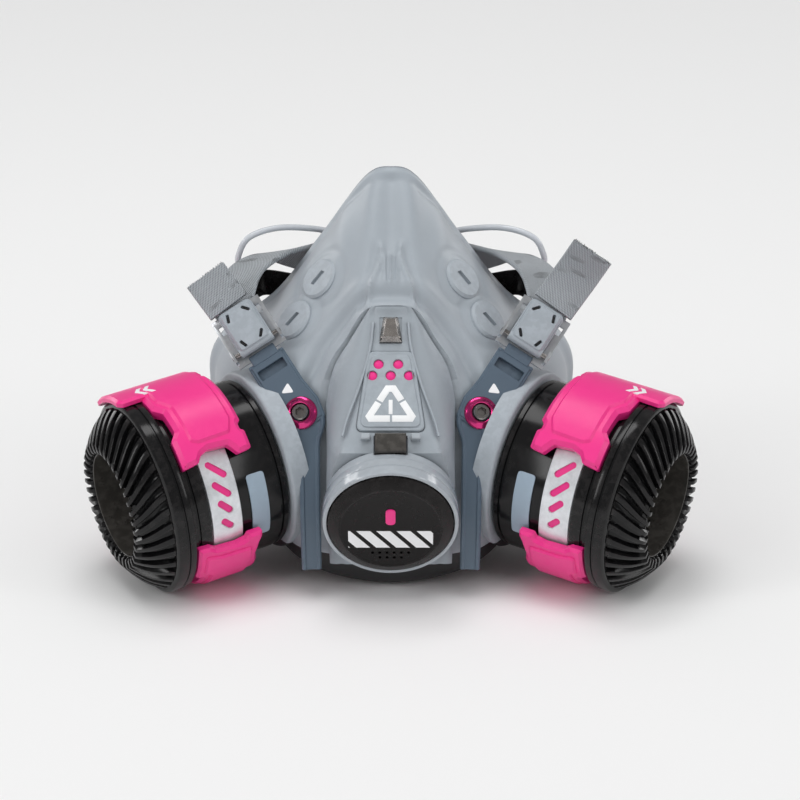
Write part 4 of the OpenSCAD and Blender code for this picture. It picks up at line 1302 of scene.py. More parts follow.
@dataclass
class FrontShell:
    """The hard snout plate with its badge, stud and catch."""

    rings_depth: float = 13.5
    bore_r: float = 17.95
    seat_r: float = 20.9
    catch_y: float = -17.6
    badge_low: float = -0.9
    badge_high: float = 0.6
    dots: tuple[tuple[float, float], ...] = ((-3.7, 8.6), (2.3, 8.6), (-5.6, 4.9), (0, 4.9), (5.6, 4.9))

    def front_y(self, z: float) -> float:
        """Front face of the shell at a height."""
        lean = math.radians(49.8)
        slope = -27.5 + (z - 67) * math.cos(lean) / math.sin(lean) + 0.6
        a = math.radians(20)
        ring = -46 + self.rings_depth * math.cos(a) - (z - 29.3 - self.rings_depth * math.sin(a)) * math.tan(
            a
        )
        return max(slope, ring)

    def section(self, z: float, w: float, y: float, f: float) -> list[Vector]:
        """Closed C-shaped section at one level."""
        fy = min(self.front_y(z), y - 0.8)
        mx = (w + f) / 2 + 0.9
        my = (y + fy) / 2 - (y - fy) * 0.14
        half = [(0.0, fy), (f * 0.55, fy), (f * 0.93, fy + 0.08), (f + 0.35, fy + 0.5)]
        half += [
            (mx - 0.35 * (mx - f), my + 0.4 * (fy - my)), (mx, my),
            (mx + 0.5 * (w - mx), my + 0.45 * (y - my))
        ]
        half += [(w, y)]
        outer = [vec(-a, b, z) for a, b in half[::-1]] + [vec(a, b, z) for a, b in half[1:]]
        k = (w - 2.2) / w
        thin = [vec(p.x * k, min(p.y + 2.0, y), z) for p in outer[::-1]]
        return outer + thin

    def body(self) -> Shape:
        """The shell without its openings."""
        levels = smooth([Vector(level) for level in [lv[:3] for lv in SHELL_LEVELS_MM]], 6)
        fronts = smooth([vec(lv[3], 0, 0) for lv in SHELL_LEVELS_MM], 6)
        rows = [self.section(a.x, a.y, a.z, b.x) for a, b in zip(levels, fronts)]
        return Shape().tube(rows)

    def badge_outline(self, grow: float) -> Outline:
        """Trapezium with round corners, wide end down."""
        return rounded(
            [
                (-10.6 - grow, -13 - grow), (10.6 + grow, -13 - grow), (6.9 + grow, 13 + grow),
                (-6.9 - grow, 13 + grow)
            ],
            2.4,
            6,
        )

    def build(self) -> None:
        """Builds and dresses the shell and its trim."""
        shell = put(self.body(), "front_shell_made", "mask", "grey_shell", ["front_shell"], 38)
        catch_gap = box_outline(10.3, 6.7, 0, self.catch_y)
        tools = [
            cylinder(VALVE, self.bore_r, -60, 0),
            cylinder(VALVE, self.seat_r, -13.15, 3),
            plate(BADGE.at, self.badge_outline(0.25), -1.1, 5, 0.01),
            plate(BADGE.at, catch_gap, -3.0, 9, 0.01),
            plate(BADGE.at, box_outline(6.9, 8.7, 0, 20), -0.75, 8, 0.01),
        ]
        cut(shell, tools)
        shade_by_angle(shell.data, 38)
        self.build_strakes()
        self.build_badge()
        self.build_catch()

    def build_strakes(self) -> None:
        """Raised lines that run down the shell beside the badge."""
        made = Shape()
        for k in (1, -1):
            path = [
                BADGE.at(k * x, y, 0.05) for x,
                y in ((5.4, 22.5), (6.3, 14), (9.4, 2), (13.2, -9), (14.6, -14.5))
            ]
            line = smooth(path, 6)
            section = rounded([(-0.55, -0.5), (0.55, -0.5), (0.3, 0.32), (-0.3, 0.32)], 0.12, 2)
            made.join(sweep(line, [vec(1, 0, 0)] * len(line), section))
        put(made, "shell_strakes", "mask", "grey_shell", (), 40)

    def build_badge(self) -> None:
        """Stepped badge plate, its grille and its printed mark."""
        holes = [circle(1.55, 28, x, y) for x, y in self.dots]
        base = plate(BADGE.at, self.badge_outline(0), self.badge_low, self.badge_high - 0.35, 0.3, 1.0, holes)
        top = plate(
            BADGE.at, self.badge_outline(-1.1), self.badge_low + 0.5, self.badge_high, 0.25, 1.0, holes
        )
        put(base.join(top), "badge_plate_made", "mask", "grey_shell", ["badge_plate"], 30)
        grille = Shape()
        for x, y in self.dots:
            axes = Axes(BADGE.at(x, y, 0), BADGE.x, BADGE.y, BADGE.z)
            ring = [(0.0, -0.55), (1.5, -0.55), (1.5, -0.1), (1.2, 0.02), (0.5, 0.12), (0.0, 0.14)]
            grille.join(lathe(axes, ring, 32))
        put(grille, "badge_grille_made", "mask", "pink_satin", ["badge_grille"], 40)
        bevelled("badge_emblem", 0.05)
        emblem = bpy.data.objects["badge_emblem_made"]
        emblem.data.transform(Matrix.Translation(BADGE.z * 0.12 * MM))
        wedge = rounded([(-3.5, 15.9), (3.5, 15.9), (2.3, 24.1), (-2.3, 24.1)], 0.35, 2)
        stud = plate(BADGE.at, wedge, -0.6, 2.2, 1.15, 1.5)
        put(stud, "nose_stud_made", "mask", "bronze_metal", ["nose_stud"], 25)

    def build_catch(self) -> None:
        """The press catch above the cap, with its pale guide tabs."""
        w = 4.75
        rows = []
        for x in (-w, -w + 0.35, w - 0.35, w):
            lift = 0.0 if abs(x) < w else -0.3
            rows.append(
                [
                    BADGE.at(x, self.catch_y + a, b + (lift if b > 0 else 0))
                    for a,
                    b in (
                        (-2.95, -0.8), (-2.95, 2.2), (-2.6, 2.9), (-0.2, 3.9), (2.5, 3.8), (2.95, 3.3),
                        (2.95, -0.8)
                    )
                ]
            )
        put(Shape().tube(rows), "catch_button_made", "catch", "dark_plastic", ["catch_button"], 25)
        made = Shape()
        for k in (1, -1):
            tab = rounded(box_outline(3.0, 1.9, k * 7.6, self.catch_y + 2.6), 0.4, 3)
            made.join(plate(BADGE.at, tab, -1.2, 1.9, 0.3))
        put(made, "catch_tabs", "mask", "grey_gloss", (), 30)


# ---------------------------------------------------------------- exhalation valve


@dataclass
class ExhalationValve:
    """The housing rings, the round cap with its marks and the valve behind it."""

    cap_r: float = 19.2
    cap_h: float = 8.0
    housing_r: float = 20.75
    marker_y: float = 4.6

    def build(self) -> None:
        """Builds and dresses the valve."""
        r = self.housing_r
        rings = [
            (16, -27), (17.8, -27), (17.8, -13.2), (r - 0.75, -13.0), (r - 0.55, -12.7), (r - 0.55, -9.9),
            (r - 0.75, -9.6),
            (r - 0.5, -9.3), (r - 0.1, -9.2), (r, -8.9), (r, -6.2), (r - 0.25, -5.9), (r - 0.25, -5.6),
            (r, -5.3),
            (r, -2.6), (r - 0.2, -2.25), (r - 0.5, -2.2), (self.cap_r + 0.35, -2.3),
            (self.cap_r + 0.35, -8.35), (16, -8.35),
        ]
        housing = put(
            lathe(VALVE, rings, 192), "valve_housing_made", "mask", "grey_gloss", ["valve_housing"], 28
        )
        cut(housing, [plate(BADGE.at, box_outline(10.3, 6.7, 0, -17.6), -3.0, 12, 0.01)])
        shade_by_angle(housing.data, 28)
        bevelled("valve_seat", 0.15)
        flap = [(0, -18.3), (14.0, -18.3), (14.0, -17.7), (12.5, -17.5), (4, -17.4), (0, -17.1)]
        put(
            lathe(VALVE, flap, 96), "exhalation_flap_made", "exhalation_flap", "seal_silicone",
            ["exhalation_flap"], 40
        )
        self.build_cap()

    def build_cap(self) -> None:
        """Round cap with a sloping shoulder, grip ridges and vent holes."""
        c = self.cap_r
        profile = [
            (0, -5), (c - 1.8, -5), (c - 1.8, -self.cap_h), (c - 0.3, -self.cap_h),
            (c, -self.cap_h + 0.3), (c, -3.3),
            (c - 0.25, -3.1), (c - 0.25, -2.7), (c, -2.5), (c, -2.2), (c - 0.15, -1.85), (c - 0.7, -1.5),
            (16.1, -0.12), (15.8, 0.0), (15.4, -0.06), (15.1, -0.3), (14.8, -0.36), (0, -0.36),
        ]
        cap = put(lathe(VALVE, profile, 192), "valve_cap_made", "cap", "black_satin", ["valve_cap"], 28)
        vents = []
        for y, count in ((-10.2, 6), (-12.2, 4)):
            for k in range(count):
                x = (k - (count - 1) / 2) * 2.2
                axes = Axes(VALVE.at(x, y, 0), VALVE.x, VALVE.y, VALVE.z)
                vents.append(cylinder(axes, 0.5, -3, 2, 14))
        cut(cap, vents)
        shade_by_angle(cap.data, 28)
        marker = rounded(box_outline(3.0, 6.2, 0, self.marker_y), 1.48, 6)
        put(
            plate(VALVE.at, marker, -0.7, 0.1, 0.2), "cap_marker_made", "cap", "pink_satin",
            ["cap_marker"], 30
        )
        bars = Shape()
        for k in range(-3, 4):
            x = k * 6.1
            bar = [(x - 4.3, -1.2), (x - 0.1, -1.2), (x + 5.9, -8.0), (x + 1.7, -8.0)]
            kept = clipped(turned(bar), -12.9, 12.9)
            if len(kept) > 2:
                bars.join(plate(VALVE.at, kept, -0.7, -0.22, 0.06))
        put(bars, "cap_stripes_made", "cap", "white_print", ["cap_stripes"], 30)


# ---------------------------------------------------------------- cartridges


@dataclass
class Cartridge:
    """One filter cartridge: black canister, coloured guards, slotted band and toothed intake."""

    side: Side
    canister_r: float = 28.5
    rear_r: float = 27.1
    bezel_r: float = 31.0
    bezel_front: float = 38.4
    guard_in: float = 28.68
    guard_out: float = 33.28
    lower_out: float = 31.5
    bore_r: float = 16.5
    teeth: int = 38
    tooth_depth: float = 2.9

    def name(self, part: str) -> str:
        """A node's name on this side."""
        return f"{part}_{self.side.word}"

    def wrap(self, r: float) -> Place:
        """Lays flat (arc length, height) coordinates round the cartridge, from a radius."""

        def place(s: float, z: float, height: float) -> Vector:
            """Wraps one point at a height above the radius."""
            return PORT.round_at(math.degrees(s / r), r + height, z)

        return place

    def arc(self, r: float, corners: Sequence[tuple[float, ...]], radius: float = 0.8) -> Outline:
        """A rounded outline whose corners are (degrees, height)."""
        flat = [(math.radians(c[0]) * r, *c[1:]) for c in corners]
        return rounded(flat, radius, 3)

    def put(self, shape: Shape, part: str, slot: str, sharp: float = 30, name: str = "") -> bpy.types.Object:
        """Puts a shape on this side's body."""
        nodes = [self.name(part)] if self.name(part) in frame["nodes"] and not name else []
        body = f"cartridge_{self.side.word}"
        return put(shape.on(self.side), name or self.name(part) + "_made", body, slot, nodes, sharp)

    def build(self) -> None:
        """Builds and dresses the cartridge."""
        self.build_drum()
        self.build_guards()
        self.build_band()
        self.build_intake()

    def build_drum(self) -> None:
        """The ribbed canister and the bezel."""
        a = self.rear_r
        b = self.canister_r
        profile = [
            (17, 2.75), (25.2, 2.75), (25.2, -1.4), (a - 1.2, -1.4), (a - 0.5, -1.2), (a - 0.2, -0.7),
            (a - 0.2, 0.6)
        ]
        profile += [
            (a - 0.7, 0.9), (a - 0.7, 1.5), (a, 1.8), (a, 25.0), (a + 0.3, 25.6), (b - 0.3, 25.6),
            (b, 25.9)
        ]
        profile += [(b, 29.4), (b - 0.45, 29.6), (b - 0.45, 30.2), (b, 30.4)]
        profile += [(b, 33), (b - 2, 33), (b - 2, 24.6), (a - 2, 23), (a - 2, 4.75), (17, 4.75)]
        self.put(lathe(PORT, profile, 180), "canister", "black_gloss", 28)
        r = self.bezel_r
        ring = [
            (b + 0.15, 32), (r - 0.7, 32), (r - 0.15, 32.3), (r, 32.8), (r, 34.2), (r - 0.35, 34.4),
            (r - 0.35, 34.9)
        ]
        ring += [
            (r, 35.1), (r, 37.3), (r - 0.2, 37.8), (r - 0.9, 38.3), (r - 1.4, 38.4), (26, 38.4),
            (26, 33.15)
        ]
        ring += [(b + 0.15, 33.15)]
        self.put(lathe(PORT, ring, 180), "front_bezel", "black_gloss", 28)

    def build_guards(self) -> None:
        """The two armour plates, with wide chamfers and a raised inner panel."""
        place = self.wrap(self.guard_in)
        r = self.guard_in
        tall = self.guard_out - self.guard_in
        upper = [
            (-72, 8.5), (-12, 8.5), (-10, 9.3), (-4, 9.3), (-2, 8.5), (40, 8.5), (41, 9.6), (45, 9.6),
            (46, 8.5),
            (57, 8.5), (58, 12.8), (51.5, 15.2), (50.5, 21.5), (52.5, 24.4), (56.5, 26.0), (58, 31.3),
            (40, 31.3), (35, 29), (20, 29.2), (15, 31.7), (-36, 31.7), (-58, 31.7), (-62, 29), (-72, 29),
        ]
        main = plate(place, self.arc(r, upper), 0.0, tall - 0.7, 1.3, 0.9, (), 2.4, 1.3)
        panel = [
            (-66, 11.5), (38, 11.3), (46, 13.5), (46.5, 24.0), (44.5, 26.4), (20, 26.6), (12, 29.5),
            (-50, 29.5), (-66, 26),
        ]
        raised = plate(place, self.arc(r, panel, 1.2), tall - 1.6, tall, 0.75, 0.95, (), 2.4, 1.3)
        tab_place = self.wrap(self.bezel_r + 0.35)
        tab = [(-36, 28.5), (2, 28.5), (3, 38.2), (0, 39.6), (-34, 39.6), (-37, 38.2)]
        rise = self.guard_out - self.bezel_r - 0.35
        hood = plate(tab_place, self.arc(self.bezel_r + 0.35, tab), 0.0, rise, 0.9, 0.8, (), 2.4, 1.3)
        self.put(main.join(raised).join(hood), "guard_upper", "pink_satin", 24)
        low_rise = self.lower_out - self.guard_in
        lower = [
            (108, 10), (113, 10), (117, 10.8), (128, 11.5), (140, 10), (238, 10), (238, 29), (137, 29),
            (135, 31.4),
            (108, 31.4), (108.5, 27.5), (111.5, 25.5), (112.5, 18.8), (111, 15.4), (108, 14.6),
        ]
        base = plate(place, self.arc(r, lower, 0.6), 0.0, low_rise - 0.3, 0.9, 0.9, (), 2.4, 1.3)
        inner = [(117, 13.6), (234, 12.6), (234, 26.6), (133, 26.6), (130, 29.2), (114, 29.2), (116.5, 24)]
        lifted = plate(
            place, self.arc(r, inner, 1.0), low_rise - 1.2, low_rise + 0.45, 0.6, 0.95, (), 2.4, 1.3
        )
        self.put(base.join(lifted), "guard_lower", "pink_satin", 24)
        marks = Shape()
        for x in (-1.3, 1.2):
            arrow = [
                (x - 1.0, -2.6), (x + 0.3, -2.6), (x + 1.9, 0), (x + 0.3, 2.6), (x - 1.0, 2.6),
                (x + 0.5, 0)
            ]
            flat = [(math.radians(-4) * r + b, 29.0 + a * 1.1) for a, b in arrow]
            marks.join(plate(place, flat, tall - 0.3, tall + 0.08, 0.05, 1.0, (), 0, 1.0))
        self.put(marks, "guard_arrows", "white_print", 30)

    def build_band(self) -> None:
        """Silver band with slanted slots over a coloured liner, and the blank label."""
        r = self.rear_r + 0.06
        place = self.wrap(r)
        for part, span in (("", (49, 115)), ("back", (229, 295))):
            slots = []
            for angle, length in zip((62.5, 75.5, 87, 99), (7.4, 7, 5.6, 4.8)):
                middle = math.radians(angle + span[0] - 49) * r
                slots.append(self.slot_outline(middle, 20.3, length))
            outline = rounded(
                [(math.radians(span[0]) * r, 15.3), (math.radians(span[1]) * r, 15.3),
                 (math.radians(span[1]) * r, 25.3), (math.radians(span[0]) * r, 25.3)], 0.3, 2,
            )
            band = plate(place, outline, 0.0, 0.85, 0.18, 1.0, slots, 1.6, 1.4)
            if part:
                self.put(band, "slotted_band", "silver_band", 30, self.name("slotted_band_back"))
            else:
                self.put(band, "slotted_band", "silver_band", 30)
            liner = plate(place, inset(turned(outline), 1.2), 0.02, 0.2, 0.02, 1.0, (), 1.6, 1.4)
            self.put(liner, "slotted_band", "pink_satin", 30, self.name(f"band_liner{part}"))
        a = self.rear_r + 0.05
        label = self.arc(a, [(72, 5.8), (118, 5.8), (118, 11.7), (72, 11.7)], 1.1)
        self.put(
            plate(self.wrap(a), label, 0.0, 0.45, 0.12, 1.0, (), 1.6, 1.4), "label_plate", "pale_plate",
            30
        )

    def slot_outline(self, s: float, z: float, length: float) -> Outline:
        """A slanted rounded slot."""
        made: Outline = []
        h = length / 2 - 1.0
        lean = math.radians(45)
        for k in range(24):
            a = 2 * math.pi * k / 24
            x = 1.05 * math.cos(a)
            y = 1.05 * math.sin(a) + (h if math.sin(a) >= 0 else -h)
            made.append((s + (x + y) * math.cos(lean), z + (x - y) * math.sin(lean)))
        return made

    def tooth_ring(self, place: Callable[[float, float], tuple[float, float, float]]) -> list[Vector]:
        """One ring of points round the cone.

        Args:
            place: Gives the angle added, the radius and the height for a tooth's height, 0 to 1.

        Returns:
            The points, eight for each tooth.
        """
        tooth = (
            (0.0, 1.0), (0.07, 1.0), (0.36, 1.0), (0.42, 0.94), (0.50, 0.1), (0.55, 0.0), (0.86, 0.0),
            (0.93, 0.1)
        )
        made = []
        for k in range(self.teeth):
            for part, h in tooth:
                turn, r, z = place(h)
                made.append(PORT.round_at((k + part) * 360 / self.teeth + turn, r, z))
        return made

    def toothed_cone(self) -> Shape:
        """The cone with its curved teeth and notched front edge."""
        levels = 14
        deep = self.tooth_depth
        back = self.bezel_front
        top = back + 9.15
        rows = [self.tooth_ring(lambda h: (0.0, 26.0, back - 0.6))]
        rows.append(self.tooth_ring(lambda h: (0.0, 28.9 - deep * 0.8 * (1 - h), back + 0.02)))
        for j in range(levels + 1):
            t = j / levels
            r = 29.3 - 9.4 * t + 0.9 * math.sin(math.pi * t)
            z = back + 0.15 + 9.0 * t**0.9
            drop = deep * (1 - 0.2 * t)
            turn = 9 * t + 9 * t * t
            rows.append(self.tooth_ring(
                lambda h: (turn, r - drop * (1 - h) * 0.62, z - drop * (1 - h) * (0.12 + 0.5 * t))
            ))
        for r, down in ((18.4, 0.05), (17.7, 0.15), (17.2, 0.4), (16.95, 0.8)):
            rows.append(self.tooth_ring(lambda h: (18.0, r, top - down - 1.15 * (1 - h))))
        for r, z in ((16.95, 44.0), (16.95, 36.0), (16.95, 29.0), (25.8, 29.0), (25.8, back - 0.6)):
            rows.append(self.tooth_ring(lambda h: (18.0 if z > 34 else 0.0, r, z)))
        return Shape().grid(rows, ring=True)

    def build_intake(self) -> None:
        """The spiral-toothed cone round the intake, its grille and the filter behind."""
        self.put(self.toothed_cone(), "intake_cone", "black_gloss", 40)
        wall = [(16.5, 29.2), (16.9, 29.2), (16.9, 45.6), (16.7, 45.8), (16.5, 45.6)]
        self.put(lathe(PORT, wall, 128), "intake_cone", "dark_plastic", 30, self.name("intake_sleeve"))
        bevelled(self.name("intake_grille"), 0.2)
        pleats = Shape()
        n = 24
        section = []
        for k in range(n + 1):
            x = -22.0 + 44.0 * k / n
            section.append((x, 0.0 if k % 2 else 1.6))
        for i in range(n):
            (x0, h0), (x1, h1) = section[i], section[i + 1]
            y0 = math.sqrt(max(24.6**2 - x0**2, 1.0))
            y1 = math.sqrt(max(24.6**2 - x1**2, 1.0))
            low = 5.2
            high = 20.0
            corners = []
            for x, h, y in ((x0, h0, y0), (x1, h1, y1)):
                corners.append(
                    [
                        PORT.at(x, -y, high + h), PORT.at(x, y, high + h), PORT.at(x, y, low + h),
                        PORT.at(x, -y, low + h)
                    ]
                )
            pleats.tube(corners)
        self.put(pleats, "filter_media", "filter_felt", 20)


# ---------------------------------------------------------------- ports


@dataclass
class Ports:
    """The two inhalation ports with their flaps and gaskets."""

    port_r: float = 24.6
    wall: float = 3.0

    def build(self) -> None:
        """Builds and dresses the ports."""
        r = self.port_r
        gaskets = Shape()
        for side in Side:
            word = side.word
            bevelled(f"inhalation_port_{word}", 0.25)
            flap = [(0, -6.0), (2, -5.9), (4, -5.3), (15.6, -5.3), (15.6, -4.5), (0, -4.5)]
            piece = lathe(PORT, flap, 96).on(side)
            put(piece, f"inhalation_flap_{word}_made", f"inhalation_flap_{word}", "seal_silicone",
                [f"inhalation_flap_{word}"], 40)
            ring = [
                (r - 2.8, 1.2), (r - 0.2, 1.2), (r - 0.2, 2.1), (r - 0.6, 2.4), (r - 2.4, 2.4),
                (r - 2.8, 2.1)
            ]
            gaskets.join(lathe(PORT, ring, 128).on(side))
        put(gaskets, "port_gaskets_made", "mask", "black_rubber", ["port_gaskets"], 40)


# ---------------------------------------------------------------- harness


@dataclass
class Harness:
    """Slate arms, buckles, webbing and the stiff yoke."""

    arm_t: float = 2.4
    web_w: float = 14.0
    web_t: float = 1.6
    strap_rear: float = 50.75

    def build(self) -> None:
        """Builds and dresses the harness."""
        for side in Side:
            self.build_arm(side)
            self.build_buckle(side)
        self.build_fasteners()
        self.build_webbing()
        self.build_yoke()

    def build_arm(self, side: Side) -> None:
        """One arm: a plate up to the buckle and a leg down beside the snout."""
        upper = rounded(
            [
                (-6.3, 21.3, 0.6), (6.3, 21.3, 0.6), (6.3, 14), (5.9, 4), (4.1, -5, 1.2), (-5.9, -5, 1.2),
                (-7.2, 1.5, 1.5), (-6.3, 9)
            ],
            1.2,
            4,
        )
        window = rounded(box_outline(9.2, 3.2, 0, 16.8), 0.4, 3)
        made = plate(ARM.at, upper, -self.arm_t, -0.35, 0.3, 1.0, [window])
        made.join(plate(ARM.at, box_outline(10.4, 4.6, 0, 16.8), -self.arm_t, -1.9, 0.1))
        rim = plate(ARM.at, inset(turned(upper), 0.7), -1.4, 0.0, 0.3, 1.0, [window])
        made.join(rim)
        tongue = rounded(box_outline(9, 3.6, 0, 22.2), 0.4, 3)
        made.join(plate(ARM.at, tongue, -0.95, -0.05, 0.25))
        stations = [
            ARM.at(-1.2, 3.5, -self.arm_t / 2), ARM.at(-1.2, -3.0, -self.arm_t / 2),
            vec(25.6, -23.2, 49.0), vec(25, -27.4, 41),
            vec(24.8, -31, 29), vec(24.6, -32.4, 18), vec(24.5, -33.0, 10.5),
        ]
        widths = [10.5, 9.6, 7.6, 6.4, 6.2, 6.2, 6.0]
        turns = [
            ARM.x, ARM.x, vec(0.97, -0.2, -0.12), vec(1, -0.1, 0), vec(1, -0.1, 0), vec(1, -0.1, 0),
            vec(1, -0.1, 0)
        ]
        path = smooth(stations, 8)
        wide = smooth([vec(w, 0, 0) for w in widths], 8)
        sides = smooth(turns, 8)
        rows = []
        for k, p in enumerate(path):
            h = unit(path[min(k + 1, len(path) - 1)] - path[max(k - 1, 0)])
            a = unit(sides[k] - h * sides[k].dot(h))
            b = a.cross(h)
            w = wide[k].x / 2
            t = self.arm_t / 2
            low = t if k > 8 else t - 0.25
            section = (
                (-w, -low), (w, -low), (w, t * 0.55), (w - 0.5, t), (w - 1.1, t), (w - 1.5, t - 0.35),
                (-w + 1.5, t - 0.35), (-w + 1.1, t), (-w + 0.5, t), (-w, t * 0.55),
            )
            face = 1.0 if b.y < 0 else -1.0
            sink = -0.3 if k < 10 else 0.0
            rows.append([p + a * x + b * face * (y + sink) for x, y in section])
        made.tube(rows)
        put(
            made.on(side), f"harness_arm_{side.word}_made", "mask", "slate_plastic",
            [f"harness_arm_{side.word}"], 30
        )

    def build_buckle(self, side: Side) -> None:
        """One buckle: a pale metal plate with ears, and a thick lever with four slots over a black floor that
        is painted shade.
        """
        bevelled(f"buckle_plate_{side.word}", 0.18)
        outline = rounded(box_outline(12.0, 15.2, 0, 32.4), 2.0, 5)
        slots = []
        for x, y, turn in ((-3.2, 27.7, 40), (3.2, 27.7, -20), (-3.2, 37.1, -40), (3.2, 37.1, 20)):
            c = math.cos(math.radians(turn))
            s = math.sin(math.radians(turn))
            slots.append(
                [(x + a * c - b * s, y + a * s + b * c) for a, b in rounded(box_outline(0.8, 2.7), 0.34, 3)]
            )
        body = plate(ARM.at, outline, 0.2, 2.3, 0.3)
        step_up = plate(ARM.at, inset(turned(outline), 0.55), 1.9, 3.5, 0.75, 1.0, slots)
        # The black rubber floor under the lever's slots is painted shade in their recesses.
        floor = plate(ARM.at, inset(turned(outline), 2.2), 1.9, 3.0, 0.1)
        barrel_axes = Axes(ARM.at(0, 25.8, 1.5), ARM.y, ARM.z, ARM.x)
        barrel = lathe(
            barrel_axes, [(0.92, -5.9), (1.4, -5.9), (1.5, -5.7), (1.5, 5.7), (1.4, 5.9), (0.92, 5.9)], 32
        )
        made = body.join(step_up).join(barrel)
        body_name = f"buckle_lever_{side.word}"
        put(floor.on(side), f"{body_name}_slot_floor", body_name, "black_rubber", (), 30)
        put(made.on(side), f"{body_name}_made", body_name, "grey_shell", [body_name], 30)

    def build_fasteners(self) -> None:
        """Cup washers, socket bolts, nuts, pins and arrows."""
        cups = Shape()
        bolts = Shape()
        base = Axes(ARM.at(0, 0, -0.6), ARM.x, ARM.y, ARM.z)
        cup = [
            (1.75, 0), (5.1, 0), (5.2, 0.2), (5.2, 0.7), (5.0, 1.0), (4.5, 1.2), (3.5, 2.2), (3.2, 2.3),
            (2.95, 2.15), (2.8, 1.6),
            (2.75, 0.5), (1.75, 0.5),
        ]
        hexagon = circle(1.35, 6)
        head = plate(ARM.at, circle(2.5, 32), -0.1, 2.1, 0.4, 1.0, [hexagon])
        head.join(plate(ARM.at, circle(2.2, 24), -0.1, 0.5, 0.1))
        head.join(cylinder(Axes(ARM.at(0, 0, 0), ARM.x, ARM.y, ARM.z), 1.55, -5.5, 0.0, 32))
        for side in Side:
            cups.join(lathe(base, cup, 96).on(side))
            bolts.join(head.on(side))
        put(cups, "arm_washers_made", "mask", "pink_anodised", ["arm_washers"], 26)
        put(bolts, "arm_bolts_made", "mask", "steel", ["arm_bolts"], 26)
        bevelled("arm_nuts", 0.2)
        bevelled("lever_pins", 0.2)
        arrows = Shape()
        mark = rounded([(-1.7, -1.9), (-1.7, 1.9), (1.9, 0)], 0.5, 3)
        arrow = plate(ARM.at, turned(mark), -0.4, 0.08, 0.06)
        for side in Side:
            arrows.join(Shape([p for p in arrow.points], arrow.faces).on(side))
        for i, p in enumerate(arrows.points):
            arrows.points[i] = p + (ARM.y * 8.6 if p.x > 0 else flip(ARM.y) * 8.6)
        put(arrows, "arm_arrows_made", "mask", "white_print", ["arm_arrows"], 30)

    def band(
        self, path: list[Vector], sides: list[Vector], name: str, nodes: Sequence[str], frayed: bool = False
    ) -> None:
        """A length of webbing with rolled edges, flat coordinates and cut ends.

        Args:
            path: The webbing's middle line.
            sides: The direction of its width at each point.
            name: The piece's name.
            nodes: The nodes it stands for.
            frayed: Adds loose threads at the far end.
        """
        w = self.web_w / 2
        t = self.web_t / 2
        section = [(-w, -t * 0.35), (-w + 0.35, -t), (-w + 1.1, -t * 0.82), (-w + 1.6, -t * 0.95)]
        section += [(x, -t * 0.95) for x in (-3, 0, 3)]
        section += [(w - 1.6, -t * 0.95), (w - 1.1, -t * 0.82), (w - 0.35, -t), (w, -t * 0.35)]
        full = section + [(x, -y) for x, y in section[::-1]]
        shape = sweep(path, sides, full)
        run = [0.0]
        for a, b in zip(path, path[1:]):
            run.append(run[-1] + (b - a).length)
        flat = {}
        for k in range(len(path)):
            for i, (x, _) in enumerate(full):
                p = shape.points[k * len(full) + i]
                flat[(round(p.x, 4), round(p.y, 4), round(p.z, 4))] = (x, run[k])
        if frayed:
            self.fray(shape, path, sides)
        made = put(shape, name, "mask", "grey_webbing", nodes, 50)
        layer = made.data.uv_layers.new(name="Strap")
        for loop in made.data.loops:
            p = made.data.vertices[loop.vertex_index].co / MM
            layer.data[loop.index].uv = flat.get((round(p.x, 4), round(p.y, 4), round(p.z, 4)), (0.0, 0.0))

    def fray(self, shape: Shape, path: list[Vector], sides: list[Vector]) -> None:
        """Adds short loose threads to the cut end of a webbing."""
        pick = random.Random(7)
        end = path[-1]
        h = unit(path[-1] - path[-2])
        a = unit(sides[-1] - h * sides[-1].dot(h))
        b = h.cross(a)
        for _ in range(110):
            x = pick.uniform(-self.web_w / 2, self.web_w / 2)
            y = pick.uniform(-0.6, 0.6)
            start = end + a * x + b * y - h * 0.3
            tip = start + h * pick.uniform(0.4, 0.9) + a * pick.uniform(-0.5, 0.5) + b * pick.uniform(
                -0.4, 0.4
            )
            r = pick.uniform(0.05, 0.09)
            rows = []
            for q in (start, (start + tip) / 2 + a * pick.uniform(-0.15, 0.15), tip):
                rows.append([q + a * r, q + b * r, q - a * r, q - b * r])
            shape.tube(rows)

    def build_webbing(self) -> None:
        """The head strap and its two tails."""
        rear = self.strap_rear
        half = [
            ARM.at(-0.8, 39, -3.4), ARM.at(-1, 43.5, -6), vec(46.5, 20, 90.5), vec(38, 34, 92),
            vec(29.5, 45.6, 88),
            vec(16, rear - 1, 84), vec(0, rear, 82.5),
        ]
        turn = [
            ARM.x, ARM.x, vec(0.9, 0.38, -0.2), vec(0.75, 0.6, -0.25), vec(0.5, 0.5, -0.65),
            vec(0.1, 0.15, -0.97), vec(0, 0, -1),
        ]
        path = smooth(half + [flip(p) for p in half[-2::-1]], 10)
        sides = smooth(turn + [flip(p) for p in turn[-2::-1]], 10)
        self.band(path, sides, "head_strap_web", ["head_strap"])
        left = smooth(
            [ARM.at(1, 41.2, 0.4), ARM.at(1.4, 48, 0.9), ARM.at(1.8, 55, 3), ARM.at(2, 61, 7.5)], 10
        )
        self.band(left, [ARM.x] * len(left), "strap_tail_left", ["strap_tails"], True)
        right = smooth(
            [flip(p) for p in (ARM.at(1, 41.2, 0.4), ARM.at(1.4, 47, 0.6), ARM.at(1.8, 54, 0.6))], 10
        )
        self.band(right, [flip(ARM.x)] * len(right), "strap_tail_right", [], True)

